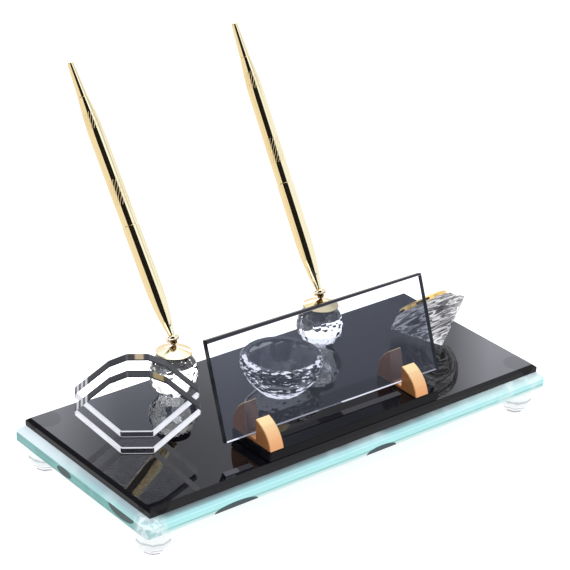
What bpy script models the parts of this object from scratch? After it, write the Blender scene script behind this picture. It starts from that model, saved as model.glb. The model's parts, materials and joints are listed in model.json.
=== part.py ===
import bpy
import bmesh
from math import atan, cos, hypot, pi, radians, sin, sqrt, tan
from mathutils import Matrix, Vector

for item in list(bpy.data.objects):
    bpy.data.objects.remove(item, do_unlink=True)

# Clearances
GAP = 0.0003
RUNNING = 0.00005

# Plinth and slab
SLAB_LENGTH = 0.300
SLAB_DEPTH = 0.127
SLAB_THICK = 0.005
SLAB_BEVEL_IN = 0.0022
SLAB_BEVEL_DOWN = 0.0018
PLINTH_END_REVEAL = 0.00465
PLINTH_SIDE_REVEAL = 0.0044
PLINTH_LENGTH = SLAB_LENGTH + 2 * PLINTH_END_REVEAL
PLINTH_DEPTH = SLAB_DEPTH + 2 * PLINTH_SIDE_REVEAL
PLINTH_THICK = 0.010
PLINTH_BEVEL_DOWN = 0.004
PLINTH_CORNER = 0.0016

# Ball feet
FOOT_RADIUS = 0.010
FOOT_TOP_FLAT = 0.0075
FOOT_BOTTOM_FLAT = 0.0095
FOOT_END_INSET = 0.01315
FOOT_SIDE_INSET = 0.0126
FOOT_X = PLINTH_LENGTH / 2 - FOOT_END_INSET
FOOT_Y = PLINTH_DEPTH / 2 - FOOT_SIDE_INSET
FOOT_ROWS = ((0.0, 10), (38.0, 8))

# Card plates
CARD_THICK = 0.008
CARD_PITCH = 0.0200
CARD_TURN = radians(-34.0)
CARD_BASE_HALF = 0.0093
CARD_TIP_HALF = 0.0360
CARD_TIP_Z = 0.026
CARD_TIP_FLAT = 0.003
CARD_SHOULDER_HALF = 0.0165
CARD_SHOULDER_Z = 0.0464
CARD_TOP_HALF = 0.0062
CARD_TOP_Z = 0.0508
CARD_CHAMFER = 0.0006
CARD_END_INSET = 0.0295
CARD_X = CARD_END_INSET - SLAB_LENGTH / 2
CARD_Y = -0.0098

# Clip bowl
BOWL_X = -0.0046
BOWL_Y = 0.0040
BOWL_HEIGHT = 0.024
BOWL_RADIUS = 0.0258
BOWL_BASE = 0.0125
BOWL_MOUTH = 0.0210
BOWL_FACETS = 12
BOWL_BAND_FACETS = 24
BOWL_BAND_Z = 0.0200
BOWL_BAND_RADIUS = 0.0256
BOWL_RIM_DROP = 0.0018
BOWL_RIM_RADIUS = 0.0240
BOWL_WAIST_Z = 0.0085
BOWL_WAIST = 0.0205
BOWL_FLOOR = 0.0060

# Bar, stands and name plate
PLATE_WIDTH = 0.1625
PLATE_HEIGHT = 0.0612
PLATE_THICK = 0.004
PLATE_LEFT = -0.0829
PLATE_LEAN = radians(21.5)
PLATE_SKEW = radians(-1.0)
PLATE_CHAMFER = 0.0004
BAR_LEFT_INSET = 0.0187
BAR_RIGHT_INSET = 0.0126
BAR_LEFT = PLATE_LEFT + BAR_LEFT_INSET
BAR_RIGHT = PLATE_LEFT + PLATE_WIDTH - BAR_RIGHT_INSET
BAR_SETBACK = 0.0017
BAR_FRONT = BAR_SETBACK - SLAB_DEPTH / 2
BAR_DEPTH = 0.0370
BAR_HEIGHT = 0.0064
BAR_CHAMFER = 0.0006
STAND_THICK = 0.010
STAND_RIGHT_INSET = 0.0315
STAND_RIGHT_X = PLATE_LEFT + PLATE_WIDTH - STAND_RIGHT_INSET
STAND_CHAMFER = 0.0004
SLOT_FLOOR = 0.0024
SLOT_FRONT = 0.0142
SLOT_WIDTH = 0.0081
SLOT_FRONT_LEAN = radians(3.4)
SLOT_REAR_LEAN = radians(17.0)
FRONT_ARC_Y = 0.02008
FRONT_ARC_Z = -0.00439
FRONT_TOP = 0.0155
REAR_ARC_Y = 0.0154
REAR_ARC_Z = 0.0028
REAR_ARC_RADIUS = 0.0214
REAR_TOP = 0.0205
ARC_STEPS = 7

# Pen bases
BALL_RADIUS = 0.015
BALL_TOP_FLAT = 0.013
BALL_BOTTOM_FLAT = 0.0141
BALL_ROWS = ((0.0, 14), (27.0, 14), (54.0, 8))
DOME_RADIUS = 0.0113
DOME_EDGE = 0.0009
DOME_RISE = 0.0034
DOME_BOSS = 0.0022
DOME_STEPS = 5
STUD_BALL = 0.0015
STUD_STEM = 0.00065
STUD_SHANK = 0.0012
STUD_SHANK_DEPTH = 0.0018
STUD_RISE = 0.0024

# Pen sockets, measured along the pen from the ball joint
SOCKET_WALL = 0.0005
SOCKET_WRAP = radians(112.0)
SOCKET_FLARE = radians(78.0)
SOCKET_CLEAR = 0.0001
SOCKET_RIM = 0.0043
SOCKET_COLLAR = 0.0042
SOCKET_COLLAR_LENGTH = 0.0031
SOCKET_GROOVE = 0.0031
SOCKET_MOUTH = 0.0032

# Pens, measured along the pen from the socket rim
NOSE_LENGTH = 0.0014
NOSE_RADIUS = 0.00110
NOSE_RIM_RADIUS = 0.00170
NOSE_BORE = 0.00080
CONE_LENGTH = 0.036
CONE_FULLNESS = 2.3
CONE_STEPS = 7
BARREL_RADIUS = 0.0054
BARREL_END = 0.0710
TOP_RADIUS = 0.00505
TOP_SWELL = 0.00515
TOP_SWELL_RUN = 0.0090
PEN_LENGTH = 0.1770
END_CAP_LENGTH = 0.0230
TAIL_LENGTH = 0.0260
TAIL_FULLNESS = 1.7
TAIL_STEPS = 5
END_RADIUS = 0.0034
END_TIP_RADIUS = 0.0021
TIP_STEPS = 4
END_PLUG = 0.006
SEAM = 0.0003
PEN_BORE = 0.0016
NOSE_BORE_LENGTH = 0.0060
SLEEVE_RADIUS = 0.0034
SLEEVE_BORE = 0.0016
SLEEVE_BELOW = 0.0130
SLEEVE_ABOVE = 0.0170
REFILL_RADIUS = 0.0012
REFILL_POINT_RADIUS = 0.0006
REFILL_POINT = 0.0020
REFILL_SHOULDER = 0.0090
REFILL_END = 0.1050

# Places along the pen that follow from its lengths
END_START = PEN_LENGTH - END_CAP_LENGTH
TAIL_START = END_START - TAIL_LENGTH
TOP_SWELL_START = BARREL_END + TOP_SWELL_RUN
SLEEVE_START = BARREL_END - SLEEVE_BELOW
SLEEVE_END = BARREL_END + SLEEVE_ABOVE

PEN_SIDES = (
    ("left", -0.0604, 0.0380, radians(36.3), radians(1.4)),
    ("right", 0.0530, 0.0365, radians(32.4), radians(0.0)),
)

# Clock crystal
GIRDLE_RADIUS = 0.0259
GIRDLE_HALF = 0.0004
GIRDLE_SIDES = 32
CROWN_HEIGHT = 0.0063
TABLE_RADIUS = 0.0172
STAR_SLOPE = radians(16.0)
PAVILION_SLOPE = radians(41.0)
UPPER_HALF_EXTRA = radians(2.0)
LOWER_HALF_EXTRA = radians(0.35)
CULET_FLAT = 0.0004
CLOCK_END_INSET = 0.0334
CLOCK_X = SLAB_LENGTH / 2 - CLOCK_END_INSET
CLOCK_Y = 0.0047
CLOCK_TURN = radians(2.0)

# Clock insert, measured from the girdle plane along the crystal's axis
WELL_RADIUS = 0.0138
WELL_FLOOR = -0.0062
BEZEL_RADIUS = 0.0167
BEZEL_TOP = 0.0090
BEZEL_WINDOW = 0.0128
BEZEL_ROUND = 0.0010
BEZEL_SKIRT = 0.0015
CASE_RADIUS = 0.0132
CASE_WALL = 0.0008
CASE_FLOOR = -0.0036
CASE_FLOOR_THICK = 0.0010
GRIP_THICK = 0.00040
GRIP_START = 0.0014
GRIP_LENGTH = 0.0024
LENS_THICK = 0.0010
LENS_LEDGE = 0.0010
DIAL_THICK = 0.0004
MOVEMENT_RADIUS = 0.0088
BATTERY_RADIUS = 0.0034
BATTERY_THICK = 0.0021
BATTERY_X = 0.0048
ARBOR_RADIUS = 0.0004
HAND_THICK = 0.0002
HAND_PITCH = 0.0006
HAND_FIRST = 0.0004
HOUR_HAND = (0.0062, 0.0011, 0.0013)
MINUTE_HAND = (0.0094, 0.0009, 0.0011)
SECOND_HAND = (0.0100, 0.0004, 0.0008)
HAND_TAIL = 0.0022
KNOB_RADIUS = 0.0022
KNOB_THICK = 0.0012
KNOB_RIBS = 12
KNOB_RIB_DEPTH = 0.0003
MINUTE_ANGLE = radians(-60.0)
HOUR_ANGLE = radians(55.0)
SECOND_ANGLE = radians(150.0)

# Roundness of the turned pieces
FINE = 32
MEDIUM = 24
SMALL = 16

# Heights inside the clock insert, from the bezel down
LENS_Z = BEZEL_TOP - BEZEL_ROUND - LENS_THICK
CASE_TOP = LENS_Z - LENS_LEDGE - GAP
DIAL_Z = CASE_TOP - BEZEL_SKIRT - GAP - DIAL_THICK
MOVEMENT_Z = CASE_FLOOR + CASE_FLOOR_THICK + GAP

# Heights of the stacked flat pieces
PLINTH_Z = FOOT_TOP_FLAT + FOOT_BOTTOM_FLAT + GAP
SLAB_Z = PLINTH_Z + PLINTH_THICK + GAP
DECK_Z = SLAB_Z + SLAB_THICK
ITEM_Z = DECK_Z + GAP


# Rounded tip of the pen's end cap, from its rim to the axis
def pen_tip():
    points = []
    for step in range(TIP_STEPS + 1):
        angle = pi / 2 * step / TIP_STEPS
        rise = END_TIP_RADIUS / 2 * sin(angle)
        points.append((END_TIP_RADIUS * cos(angle), PEN_LENGTH - END_TIP_RADIUS / 2 + rise))
    points[-1] = (0.0, PEN_LENGTH)
    return points


# Frame: desk plane at z = 0, origin under the middle of the whole outline
def pen_reach():
    reaches = []
    for side, x, y, lean, turn in PEN_SIDES:
        back = sin(lean) * cos(turn)
        for radius, height in pen_tip():
            reaches.append(y + (SOCKET_RIM + height) * back + radius * sqrt(1 - back ** 2))
    return max(reaches)


BASE_Y = (PLINTH_DEPTH / 2 - pen_reach()) / 2


# Finish and mesh helpers
def finish(piece, colour, roughness, metallic):
    look = bpy.data.materials.new(piece.name)
    look.use_nodes = True
    shader = look.node_tree.nodes["Principled BSDF"]
    shader.inputs["Base Color"].default_value = (*colour, 1.0)
    shader.inputs["Roughness"].default_value = roughness
    shader.inputs["Metallic"].default_value = metallic
    piece.data.materials.clear()
    piece.data.materials.append(look)


def piece_from(name, shape, colour=None, roughness=0.2, metallic=0.0, smooth=None):
    bmesh.ops.remove_doubles(shape, verts=shape.verts, dist=1e-7)
    bmesh.ops.recalc_face_normals(shape, faces=shape.faces)
    data = bpy.data.meshes.new(name)
    shape.to_mesh(data)
    shape.free()
    piece = bpy.data.objects.new(name, data)
    bpy.context.scene.collection.objects.link(piece)
    if smooth is not None:
        data.shade_smooth()
        data.set_sharp_from_angle(angle=smooth)
    if colour is not None:
        finish(piece, colour, roughness, metallic)
    return piece


def turned_shape(outline, segments):
    shape = bmesh.new()
    rings = []
    for radius, height in outline:
        if radius == 0.0:
            rings.append([shape.verts.new((0.0, 0.0, height))])
        else:
            ring = []
            for index in range(segments):
                angle = 2.0 * pi * index / segments
                ring.append(shape.verts.new((radius * cos(angle), radius * sin(angle), height)))
            rings.append(ring)
    pairs = list(zip(rings, rings[1:]))
    if outline[0][0] != 0.0:
        pairs.append((rings[-1], rings[0]))
    for low, high in pairs:
        for index in range(segments):
            after = (index + 1) % segments
            if len(low) == 1 and len(high) == 1:
                continue
            if len(low) == 1:
                shape.faces.new((low[0], high[after], high[index]))
            elif len(high) == 1:
                shape.faces.new((low[index], low[after], high[0]))
            else:
                shape.faces.new((low[index], low[after], high[after], high[index]))
    return shape


def cut_shape(half, planes):
    shape = bmesh.new()
    bmesh.ops.create_cube(shape, size=2.0 * half)
    for point, normal in planes:
        everything = shape.verts[:] + shape.edges[:] + shape.faces[:]
        bmesh.ops.bisect_plane(
            shape, geom=everything, dist=1e-7, plane_co=point, plane_no=normal, clear_outer=True
        )
        rim = [edge for edge in shape.edges if edge.is_boundary]
        if rim:
            bmesh.ops.contextual_create(shape, geom=rim)
    return shape


def prism_shape(outline, depth):
    shape = bmesh.new()
    near = [shape.verts.new((u, 0.0, v)) for u, v in outline]
    far = [shape.verts.new((u, depth, v)) for u, v in outline]
    shape.faces.new(near)
    shape.faces.new(list(reversed(far)))
    for index in range(len(outline)):
        after = (index + 1) % len(outline)
        shape.faces.new((near[index], far[index], far[after], near[after]))
    return shape


def chamfer(piece, width, angle=radians(20.0)):
    edge = piece.modifiers.new("edge", "BEVEL")
    edge.width = width
    edge.segments = 1
    edge.limit_method = "ANGLE"
    edge.angle_limit = angle


def carve(piece, cutter, operation="DIFFERENCE"):
    cutter.hide_render = True
    cutter.display_type = "WIRE"
    step = piece.modifiers.new(cutter.name, "BOOLEAN")
    step.operation = operation
    step.solver = "EXACT"
    step.object = cutter


def sphere_planes(radius, rows):
    planes = []
    for row, (latitude, count) in enumerate(rows):
        tilts = (0.0,) if latitude == 0.0 else (latitude, -latitude)
        for tilt in tilts:
            for index in range(count):
                angle = 2.0 * pi * (index + 0.5 * (row % 2)) / count
                normal = Vector((
                    cos(radians(tilt)) * cos(angle),
                    cos(radians(tilt)) * sin(angle),
                    sin(radians(tilt)),
                ))
                planes.append((normal * radius, normal))
    return planes


# Plinth: box with a wide bevel down to a square edge and cut corners
def build_plinth():
    half = Vector((PLINTH_LENGTH / 2, PLINTH_DEPTH / 2, PLINTH_THICK))
    margin = (PLINTH_LENGTH - SLAB_LENGTH) / 2
    slope = Vector((PLINTH_BEVEL_DOWN, 0.0, margin)).normalized()
    planes = [(Vector((0, 0, 0)), Vector((0, 0, -1))), (Vector((0, 0, PLINTH_THICK)), Vector((0, 0, 1)))]
    for side in (-1, 1):
        planes.append((Vector((side * half.x, 0, 0)), Vector((side, 0, 0))))
        planes.append((Vector((0, side * half.y, 0)), Vector((0, side, 0))))
        edge = PLINTH_THICK - PLINTH_BEVEL_DOWN
        planes.append((Vector((side * half.x, 0, edge)), Vector((side * slope.x, 0, slope.z))))
        planes.append((Vector((0, side * half.y, edge)), Vector((0, side * slope.x, slope.z))))
        for end in (-1, 1):
            corner = Vector((side * (half.x - PLINTH_CORNER), end * half.y, 0))
            planes.append((corner, Vector((side, end, 0)).normalized()))
    piece = piece_from("glass_plinth", cut_shape(PLINTH_LENGTH, planes), (0.78, 0.95, 0.93), 0.02)
    piece.location = (0.0, BASE_Y, PLINTH_Z)


# Slab: thin plate with a narrow bevel round its top
def build_slab():
    planes = [(Vector((0, 0, 0)), Vector((0, 0, -1))), (Vector((0, 0, SLAB_THICK)), Vector((0, 0, 1)))]
    slope = Vector((SLAB_BEVEL_DOWN, 0.0, SLAB_BEVEL_IN)).normalized()
    edge = SLAB_THICK - SLAB_BEVEL_DOWN
    for side in (-1, 1):
        planes.append((Vector((side * SLAB_LENGTH / 2, 0, 0)), Vector((side, 0, 0))))
        planes.append((Vector((0, side * SLAB_DEPTH / 2, 0)), Vector((0, side, 0))))
        planes.append((Vector((side * SLAB_LENGTH / 2, 0, edge)), Vector((side * slope.x, 0, slope.z))))
        planes.append((Vector((0, side * SLAB_DEPTH / 2, edge)), Vector((0, side * slope.x, slope.z))))
    piece = piece_from("smoked_slab", cut_shape(SLAB_LENGTH, planes), (0.02, 0.02, 0.024), 0.02)
    piece.location = (0.0, BASE_Y, SLAB_Z)


# Ball feet: faceted balls with a flat above and a small flat below
def build_feet():
    flats = [
        (Vector((0, 0, FOOT_TOP_FLAT)), Vector((0, 0, 1))),
        (Vector((0, 0, -FOOT_BOTTOM_FLAT)), Vector((0, 0, -1))),
    ]
    for row, y in (("front", -FOOT_Y), ("rear", FOOT_Y)):
        for side, x in (("left", -FOOT_X), ("right", FOOT_X)):
            shape = cut_shape(2 * FOOT_RADIUS, flats + sphere_planes(FOOT_RADIUS, FOOT_ROWS))
            piece = piece_from("ball_foot_" + row + "_" + side, shape, (0.93, 0.95, 0.96), 0.02)
            piece.location = (x, BASE_Y + y, FOOT_BOTTOM_FLAT)


# Card holder: two upright plates side by side, turned in plan
def build_card_plates():
    right = [
        (CARD_BASE_HALF, 0.0),
        (CARD_TIP_HALF, CARD_TIP_Z),
        (CARD_TIP_HALF, CARD_TIP_Z + CARD_TIP_FLAT),
        (CARD_SHOULDER_HALF, CARD_SHOULDER_Z),
        (CARD_TOP_HALF, CARD_TOP_Z),
    ]
    outline = right + [(-u, v) for u, v in reversed(right)]
    holder = bpy.data.objects.new("card_holder", None)
    bpy.context.scene.collection.objects.link(holder)
    holder.location = (CARD_X, BASE_Y + CARD_Y, ITEM_Z)
    holder.rotation_euler = (0.0, 0.0, CARD_TURN)
    for name, offset in (("card_plate_front", 0.0), ("card_plate_rear", CARD_PITCH)):
        piece = piece_from(name, prism_shape(outline, CARD_THICK), (0.92, 0.95, 0.95), 0.02)
        piece.parent = holder
        piece.location = (0.0, offset, 0.0)
        chamfer(piece, CARD_CHAMFER)


# Bowl: two rows of broad facets, a finely cut band and rim, and a round inside
def build_bowl():
    planes = [(Vector((0, 0, 0)), Vector((0, 0, -1))), (Vector((0, 0, BOWL_HEIGHT)), Vector((0, 0, 1)))]
    shoulder = BOWL_HEIGHT - BOWL_RIM_DROP
    rows = (
        (BOWL_BASE, 0.0, BOWL_WAIST, BOWL_WAIST_Z, BOWL_FACETS, 0.0),
        (BOWL_WAIST, BOWL_WAIST_Z, BOWL_RADIUS, BOWL_BAND_Z, BOWL_FACETS, 0.5),
        (BOWL_RADIUS, BOWL_BAND_Z, BOWL_BAND_RADIUS, shoulder, BOWL_BAND_FACETS, 0.0),
        (BOWL_BAND_RADIUS, shoulder, BOWL_RIM_RADIUS, BOWL_HEIGHT, BOWL_BAND_FACETS, 0.5),
    )
    for low_radius, low_z, high_radius, high_z, count, shift in rows:
        for index in range(count):
            angle = 2 * pi * (index + shift) / count
            out = Vector((cos(angle), sin(angle), 0))
            rise = high_z - low_z
            grow = high_radius - low_radius
            normal = (out * rise - Vector((0, 0, grow))).normalized()
            planes.append((out * low_radius + Vector((0, 0, low_z)), normal))
    piece = piece_from("clip_bowl", cut_shape(2 * BOWL_RADIUS, planes), (0.90, 0.91, 0.93), 0.02)
    piece.location = (BOWL_X, BASE_Y + BOWL_Y, ITEM_Z)
    depth = BOWL_HEIGHT - BOWL_FLOOR
    outline = [(0.0, BOWL_FLOOR)]
    for index in range(1, 7):
        angle = pi / 2 * index / 6
        outline.append((BOWL_MOUTH * sin(angle), BOWL_HEIGHT - depth * cos(angle)))
    outline.append((BOWL_MOUTH, BOWL_HEIGHT + depth))
    outline.append((0.0, BOWL_HEIGHT + depth))
    hollow = piece_from("bowl_hollow", turned_shape(outline, FINE), (0.90, 0.91, 0.93), 0.02)
    hollow.location = piece.location
    carve(piece, hollow)


# Stands: quarter rounds in front and behind with a leaning slot between
def stand_outline():
    front_radius = hypot(FRONT_ARC_Y, FRONT_ARC_Z)
    top_y = SLOT_FRONT + (FRONT_TOP - SLOT_FLOOR) * tan(SLOT_FRONT_LEAN)
    low = atan(-FRONT_ARC_Z / FRONT_ARC_Y)
    high = atan((FRONT_TOP - FRONT_ARC_Z) / (FRONT_ARC_Y - top_y))
    points = []
    for step in range(ARC_STEPS + 1):
        angle = low + (high - low) * step / ARC_STEPS
        points.append((FRONT_ARC_Y - front_radius * cos(angle), FRONT_ARC_Z + front_radius * sin(angle)))
    points[0] = (0.0, 0.0)
    points.append((SLOT_FRONT, SLOT_FLOOR))
    rear_floor = SLOT_FRONT + SLOT_WIDTH
    points.append((rear_floor, SLOT_FLOOR))
    rear_top_y = rear_floor + (REAR_TOP - SLOT_FLOOR) * tan(SLOT_REAR_LEAN)
    high = atan((REAR_TOP - REAR_ARC_Z) / (rear_top_y - REAR_ARC_Y))
    low = -atan(REAR_ARC_Z / REAR_ARC_RADIUS)
    for step in range(ARC_STEPS + 1):
        angle = high + (low - high) * step / ARC_STEPS
        points.append((REAR_ARC_Y + REAR_ARC_RADIUS * cos(angle), REAR_ARC_Z + REAR_ARC_RADIUS * sin(angle)))
    points[-1] = (points[-1][0], 0.0)
    return points, (rear_top_y, REAR_TOP)


def build_bar_and_stands():
    length = BAR_RIGHT - BAR_LEFT
    bar = piece_from(
        "stand_bar", prism_shape([(0, 0), (length, 0), (length, BAR_HEIGHT), (0, BAR_HEIGHT)], BAR_DEPTH),
        (0.02, 0.02, 0.024), 0.02
    )
    bar.location = (BAR_LEFT, BASE_Y + BAR_FRONT, ITEM_Z)
    chamfer(bar, BAR_CHAMFER)
    outline, back_edge = stand_outline()
    for name, x in (("plate_stand_left", BAR_LEFT), ("plate_stand_right", STAND_RIGHT_X)):
        piece = piece_from(name, prism_shape(outline, STAND_THICK), (0.72, 0.38, 0.22), 0.18)
        piece.rotation_euler = (0.0, 0.0, pi / 2)
        piece.location = (x + STAND_THICK, BASE_Y + BAR_FRONT, ITEM_Z + BAR_HEIGHT + GAP)
        chamfer(piece, STAND_CHAMFER)
    return back_edge


# Name plate: stands on its rear bottom edge and leans on the left stand
def build_name_plate(back_edge):
    along = Vector((cos(PLATE_SKEW), sin(PLATE_SKEW), 0))
    back = Vector((-sin(PLATE_SKEW), cos(PLATE_SKEW), 0))
    up = back * sin(PLATE_LEAN) + Vector((0, 0, cos(PLATE_LEAN)))
    behind = back * cos(PLATE_LEAN) - Vector((0, 0, sin(PLATE_LEAN)))
    stand_z = ITEM_Z + BAR_HEIGHT + GAP
    edge = Vector((BAR_LEFT, BASE_Y + BAR_FRONT + back_edge[0], stand_z + back_edge[1]))
    touch = edge - behind * GAP
    floor_z = stand_z + SLOT_FLOOR + GAP
    foot = touch - up * ((touch.z - floor_z) / up.z)
    corner = foot - behind * PLATE_THICK
    corner += along * ((PLATE_LEFT - corner.x) / along.x)
    outline = [(0, 0), (PLATE_WIDTH, 0), (PLATE_WIDTH, PLATE_HEIGHT), (0, PLATE_HEIGHT)]
    piece = piece_from("name_plate", prism_shape(outline, PLATE_THICK), (0.45, 0.44, 0.47), 0.02)
    turn = Matrix((along, behind, up)).transposed().to_4x4()
    piece.matrix_world = Matrix.Translation(corner) @ turn
    chamfer(piece, PLATE_CHAMFER)


# Pen base: faceted ball, dome cap and the ball stud that carries the socket
def build_pen_base(side, x, y):
    flats = [
        (Vector((0, 0, BALL_TOP_FLAT)), Vector((0, 0, 1))),
        (Vector((0, 0, -BALL_BOTTOM_FLAT)), Vector((0, 0, -1))),
    ]
    shape = cut_shape(2 * BALL_RADIUS, flats + sphere_planes(BALL_RADIUS, BALL_ROWS))
    ball = piece_from("crystal_ball_" + side, shape, (0.93, 0.94, 0.96), 0.02)
    ball.location = (x, y, ITEM_Z + BALL_BOTTOM_FLAT)
    dome_z = ITEM_Z + BALL_BOTTOM_FLAT + BALL_TOP_FLAT + GAP
    outline = [(0.0, 0.0), (DOME_RADIUS, 0.0), (DOME_RADIUS, DOME_EDGE)]
    for step in range(1, DOME_STEPS + 1):
        angle = pi / 2 * step / DOME_STEPS
        spread = DOME_RADIUS - DOME_BOSS
        outline.append((DOME_BOSS + spread * (1 - step / DOME_STEPS), DOME_EDGE + DOME_RISE * sin(angle)))
    dome_top = DOME_EDGE + DOME_RISE
    hole = STUD_SHANK + RUNNING
    hole_floor = dome_top - STUD_SHANK_DEPTH - GAP
    outline += [(hole, dome_top), (hole, hole_floor), (0.0, hole_floor)]
    dome = piece_from(
        "dome_cap_" + side, turned_shape(outline, FINE), (0.85, 0.70, 0.38), 0.12, 1.0, radians(35)
    )
    dome.location = (x, y, dome_z)
    pivot_z = dome_z + dome_top + STUD_RISE
    outline = [
        (0.0, -STUD_RISE - STUD_SHANK_DEPTH),
        (STUD_SHANK, -STUD_RISE - STUD_SHANK_DEPTH),
        (STUD_SHANK, -STUD_RISE),
        (STUD_SHANK, -STUD_RISE + GAP),
        (STUD_STEM, -STUD_RISE + 2 * GAP),
    ]
    start = pi - atan(STUD_STEM / STUD_BALL)
    for step in range(7):
        angle = start * (1 - step / 7)
        outline.append((STUD_BALL * sin(angle), STUD_BALL * cos(angle)))
    outline.append((0.0, STUD_BALL))
    stud = piece_from(
        "swivel_stud_" + side, turned_shape(outline, SMALL), (0.80, 0.66, 0.36), 0.15, 1.0, radians(35)
    )
    stud.location = (x, y, pivot_z)
    return pivot_z


# Pen socket: clips round the stud's ball and opens to a bright collar
def build_socket(side, axis):
    inner = STUD_BALL + SOCKET_CLEAR
    outer = inner + SOCKET_WALL
    collar_low = SOCKET_RIM - SOCKET_COLLAR_LENGTH
    nose_seat = SOCKET_RIM - NOSE_LENGTH - GAP
    point_floor = SOCKET_RIM - REFILL_POINT - GAP
    outline = [(0.0, inner)]
    for step in range(1, 7):
        angle = SOCKET_WRAP * step / 6
        outline.append((inner * sin(angle), inner * cos(angle)))
    for step in range(4):
        angle = SOCKET_WRAP + (SOCKET_FLARE - SOCKET_WRAP) * step / 3
        outline.append((outer * sin(angle), outer * cos(angle)))
    outline += [
        (SOCKET_GROOVE, collar_low - GAP),
        (SOCKET_GROOVE, collar_low),
        (SOCKET_COLLAR, collar_low + GAP),
        (SOCKET_COLLAR, SOCKET_RIM - GAP),
        (SOCKET_COLLAR - GAP, SOCKET_RIM),
        (SOCKET_MOUTH, SOCKET_RIM),
        (NOSE_RADIUS + GAP, nose_seat),
        (NOSE_BORE + GAP, nose_seat),
        (NOSE_BORE + GAP, point_floor),
        (0.0, point_floor),
    ]
    piece = piece_from(
        "pen_socket_" + side, turned_shape(outline, MEDIUM), (0.86, 0.72, 0.40), 0.12, 1.0, radians(35)
    )
    piece.parent = axis


# Pen: cone and barrel below the seam, slimmer barrel and tapered end above
def build_pen(side, axis):
    gold = (0.83, 0.69, 0.40)
    outline = [(NOSE_BORE, -NOSE_LENGTH), (NOSE_RADIUS, -NOSE_LENGTH)]
    for step in range(CONE_STEPS + 1):
        share = step / CONE_STEPS
        spread = BARREL_RADIUS - NOSE_RIM_RADIUS
        outline.append((BARREL_RADIUS - spread * (1 - share) ** CONE_FULLNESS, CONE_LENGTH * share))
    edge = BARREL_END - SEAM
    outline += [
        (BARREL_RADIUS, edge - GAP),
        (BARREL_RADIUS - GAP, edge),
        (SLEEVE_RADIUS + GAP, edge),
        (SLEEVE_RADIUS + GAP, SLEEVE_START - GAP),
        (PEN_BORE, SLEEVE_START - GAP),
        (PEN_BORE, NOSE_BORE_LENGTH + GAP),
        (NOSE_BORE, NOSE_BORE_LENGTH),
    ]
    barrel = piece_from(
        "pen_barrel_" + side, turned_shape(outline, MEDIUM), gold, 0.10, 1.0, radians(35)
    )
    outline = [
        (SLEEVE_BORE, SLEEVE_START),
        (SLEEVE_RADIUS, SLEEVE_START),
        (SLEEVE_RADIUS, SLEEVE_END),
        (SLEEVE_BORE, SLEEVE_END),
    ]
    sleeve = piece_from(
        "twist_sleeve_" + side, turned_shape(outline, MEDIUM), (0.78, 0.62, 0.32), 0.25, 1.0, radians(35)
    )
    outline = [(TOP_RADIUS, BARREL_END), (TOP_SWELL, TOP_SWELL_START)]
    for step in range(TAIL_STEPS + 1):
        share = step / TAIL_STEPS
        radius = TOP_SWELL - (TOP_SWELL - END_RADIUS) * share ** TAIL_FULLNESS
        outline.append((radius, TAIL_START + (END_START - SEAM - TAIL_START) * share))
    outline += [
        (PEN_BORE + GAP, END_START - SEAM),
        (PEN_BORE + GAP, END_START - END_PLUG),
        (SLEEVE_RADIUS + RUNNING, TAIL_START),
        (SLEEVE_RADIUS + RUNNING, BARREL_END),
    ]
    top = piece_from(
        "pen_top_" + side, turned_shape(outline, MEDIUM), gold, 0.10, 1.0, radians(35)
    )
    outline = [
        (0.0, END_START - END_PLUG),
        (PEN_BORE, END_START - END_PLUG),
        (PEN_BORE, END_START),
        (END_RADIUS, END_START),
    ] + pen_tip()
    end = piece_from(
        "pen_end_" + side, turned_shape(outline, MEDIUM), gold, 0.10, 1.0, radians(35)
    )
    outline = [
        (0.0, -REFILL_POINT),
        (REFILL_POINT_RADIUS / 2, -REFILL_POINT + GAP),
        (REFILL_POINT_RADIUS, -NOSE_LENGTH),
        (REFILL_POINT_RADIUS, REFILL_SHOULDER),
        (REFILL_RADIUS, REFILL_SHOULDER + GAP),
        (REFILL_RADIUS, REFILL_END),
        (0.0, REFILL_END),
    ]
    refill = piece_from(
        "pen_refill_" + side, turned_shape(outline, SMALL), (0.75, 0.62, 0.34), 0.3, 1.0, radians(35)
    )
    for piece in (barrel, sleeve, top, end, refill):
        piece.parent = axis
        piece.location = (0.0, 0.0, SOCKET_RIM)


def build_pens():
    for side, x, y, lean, turn in PEN_SIDES:
        pivot_z = build_pen_base(side, x, BASE_Y + y)
        axis = bpy.data.objects.new("pen_axis_" + side, None)
        bpy.context.scene.collection.objects.link(axis)
        axis.location = (x, BASE_Y + y, pivot_z)
        axis.rotation_euler = (-lean, 0.0, turn)
        build_socket(side, axis)
        build_pen(side, axis)


# Clock crystal: round brilliant lying on one of its main lower facets
def facet(azimuth, slope, radius, height, up):
    normal = Vector((sin(slope) * cos(azimuth), sin(slope) * sin(azimuth), up * cos(slope)))
    point = Vector((radius * cos(azimuth), radius * sin(azimuth), height))
    return (point, normal)


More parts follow.
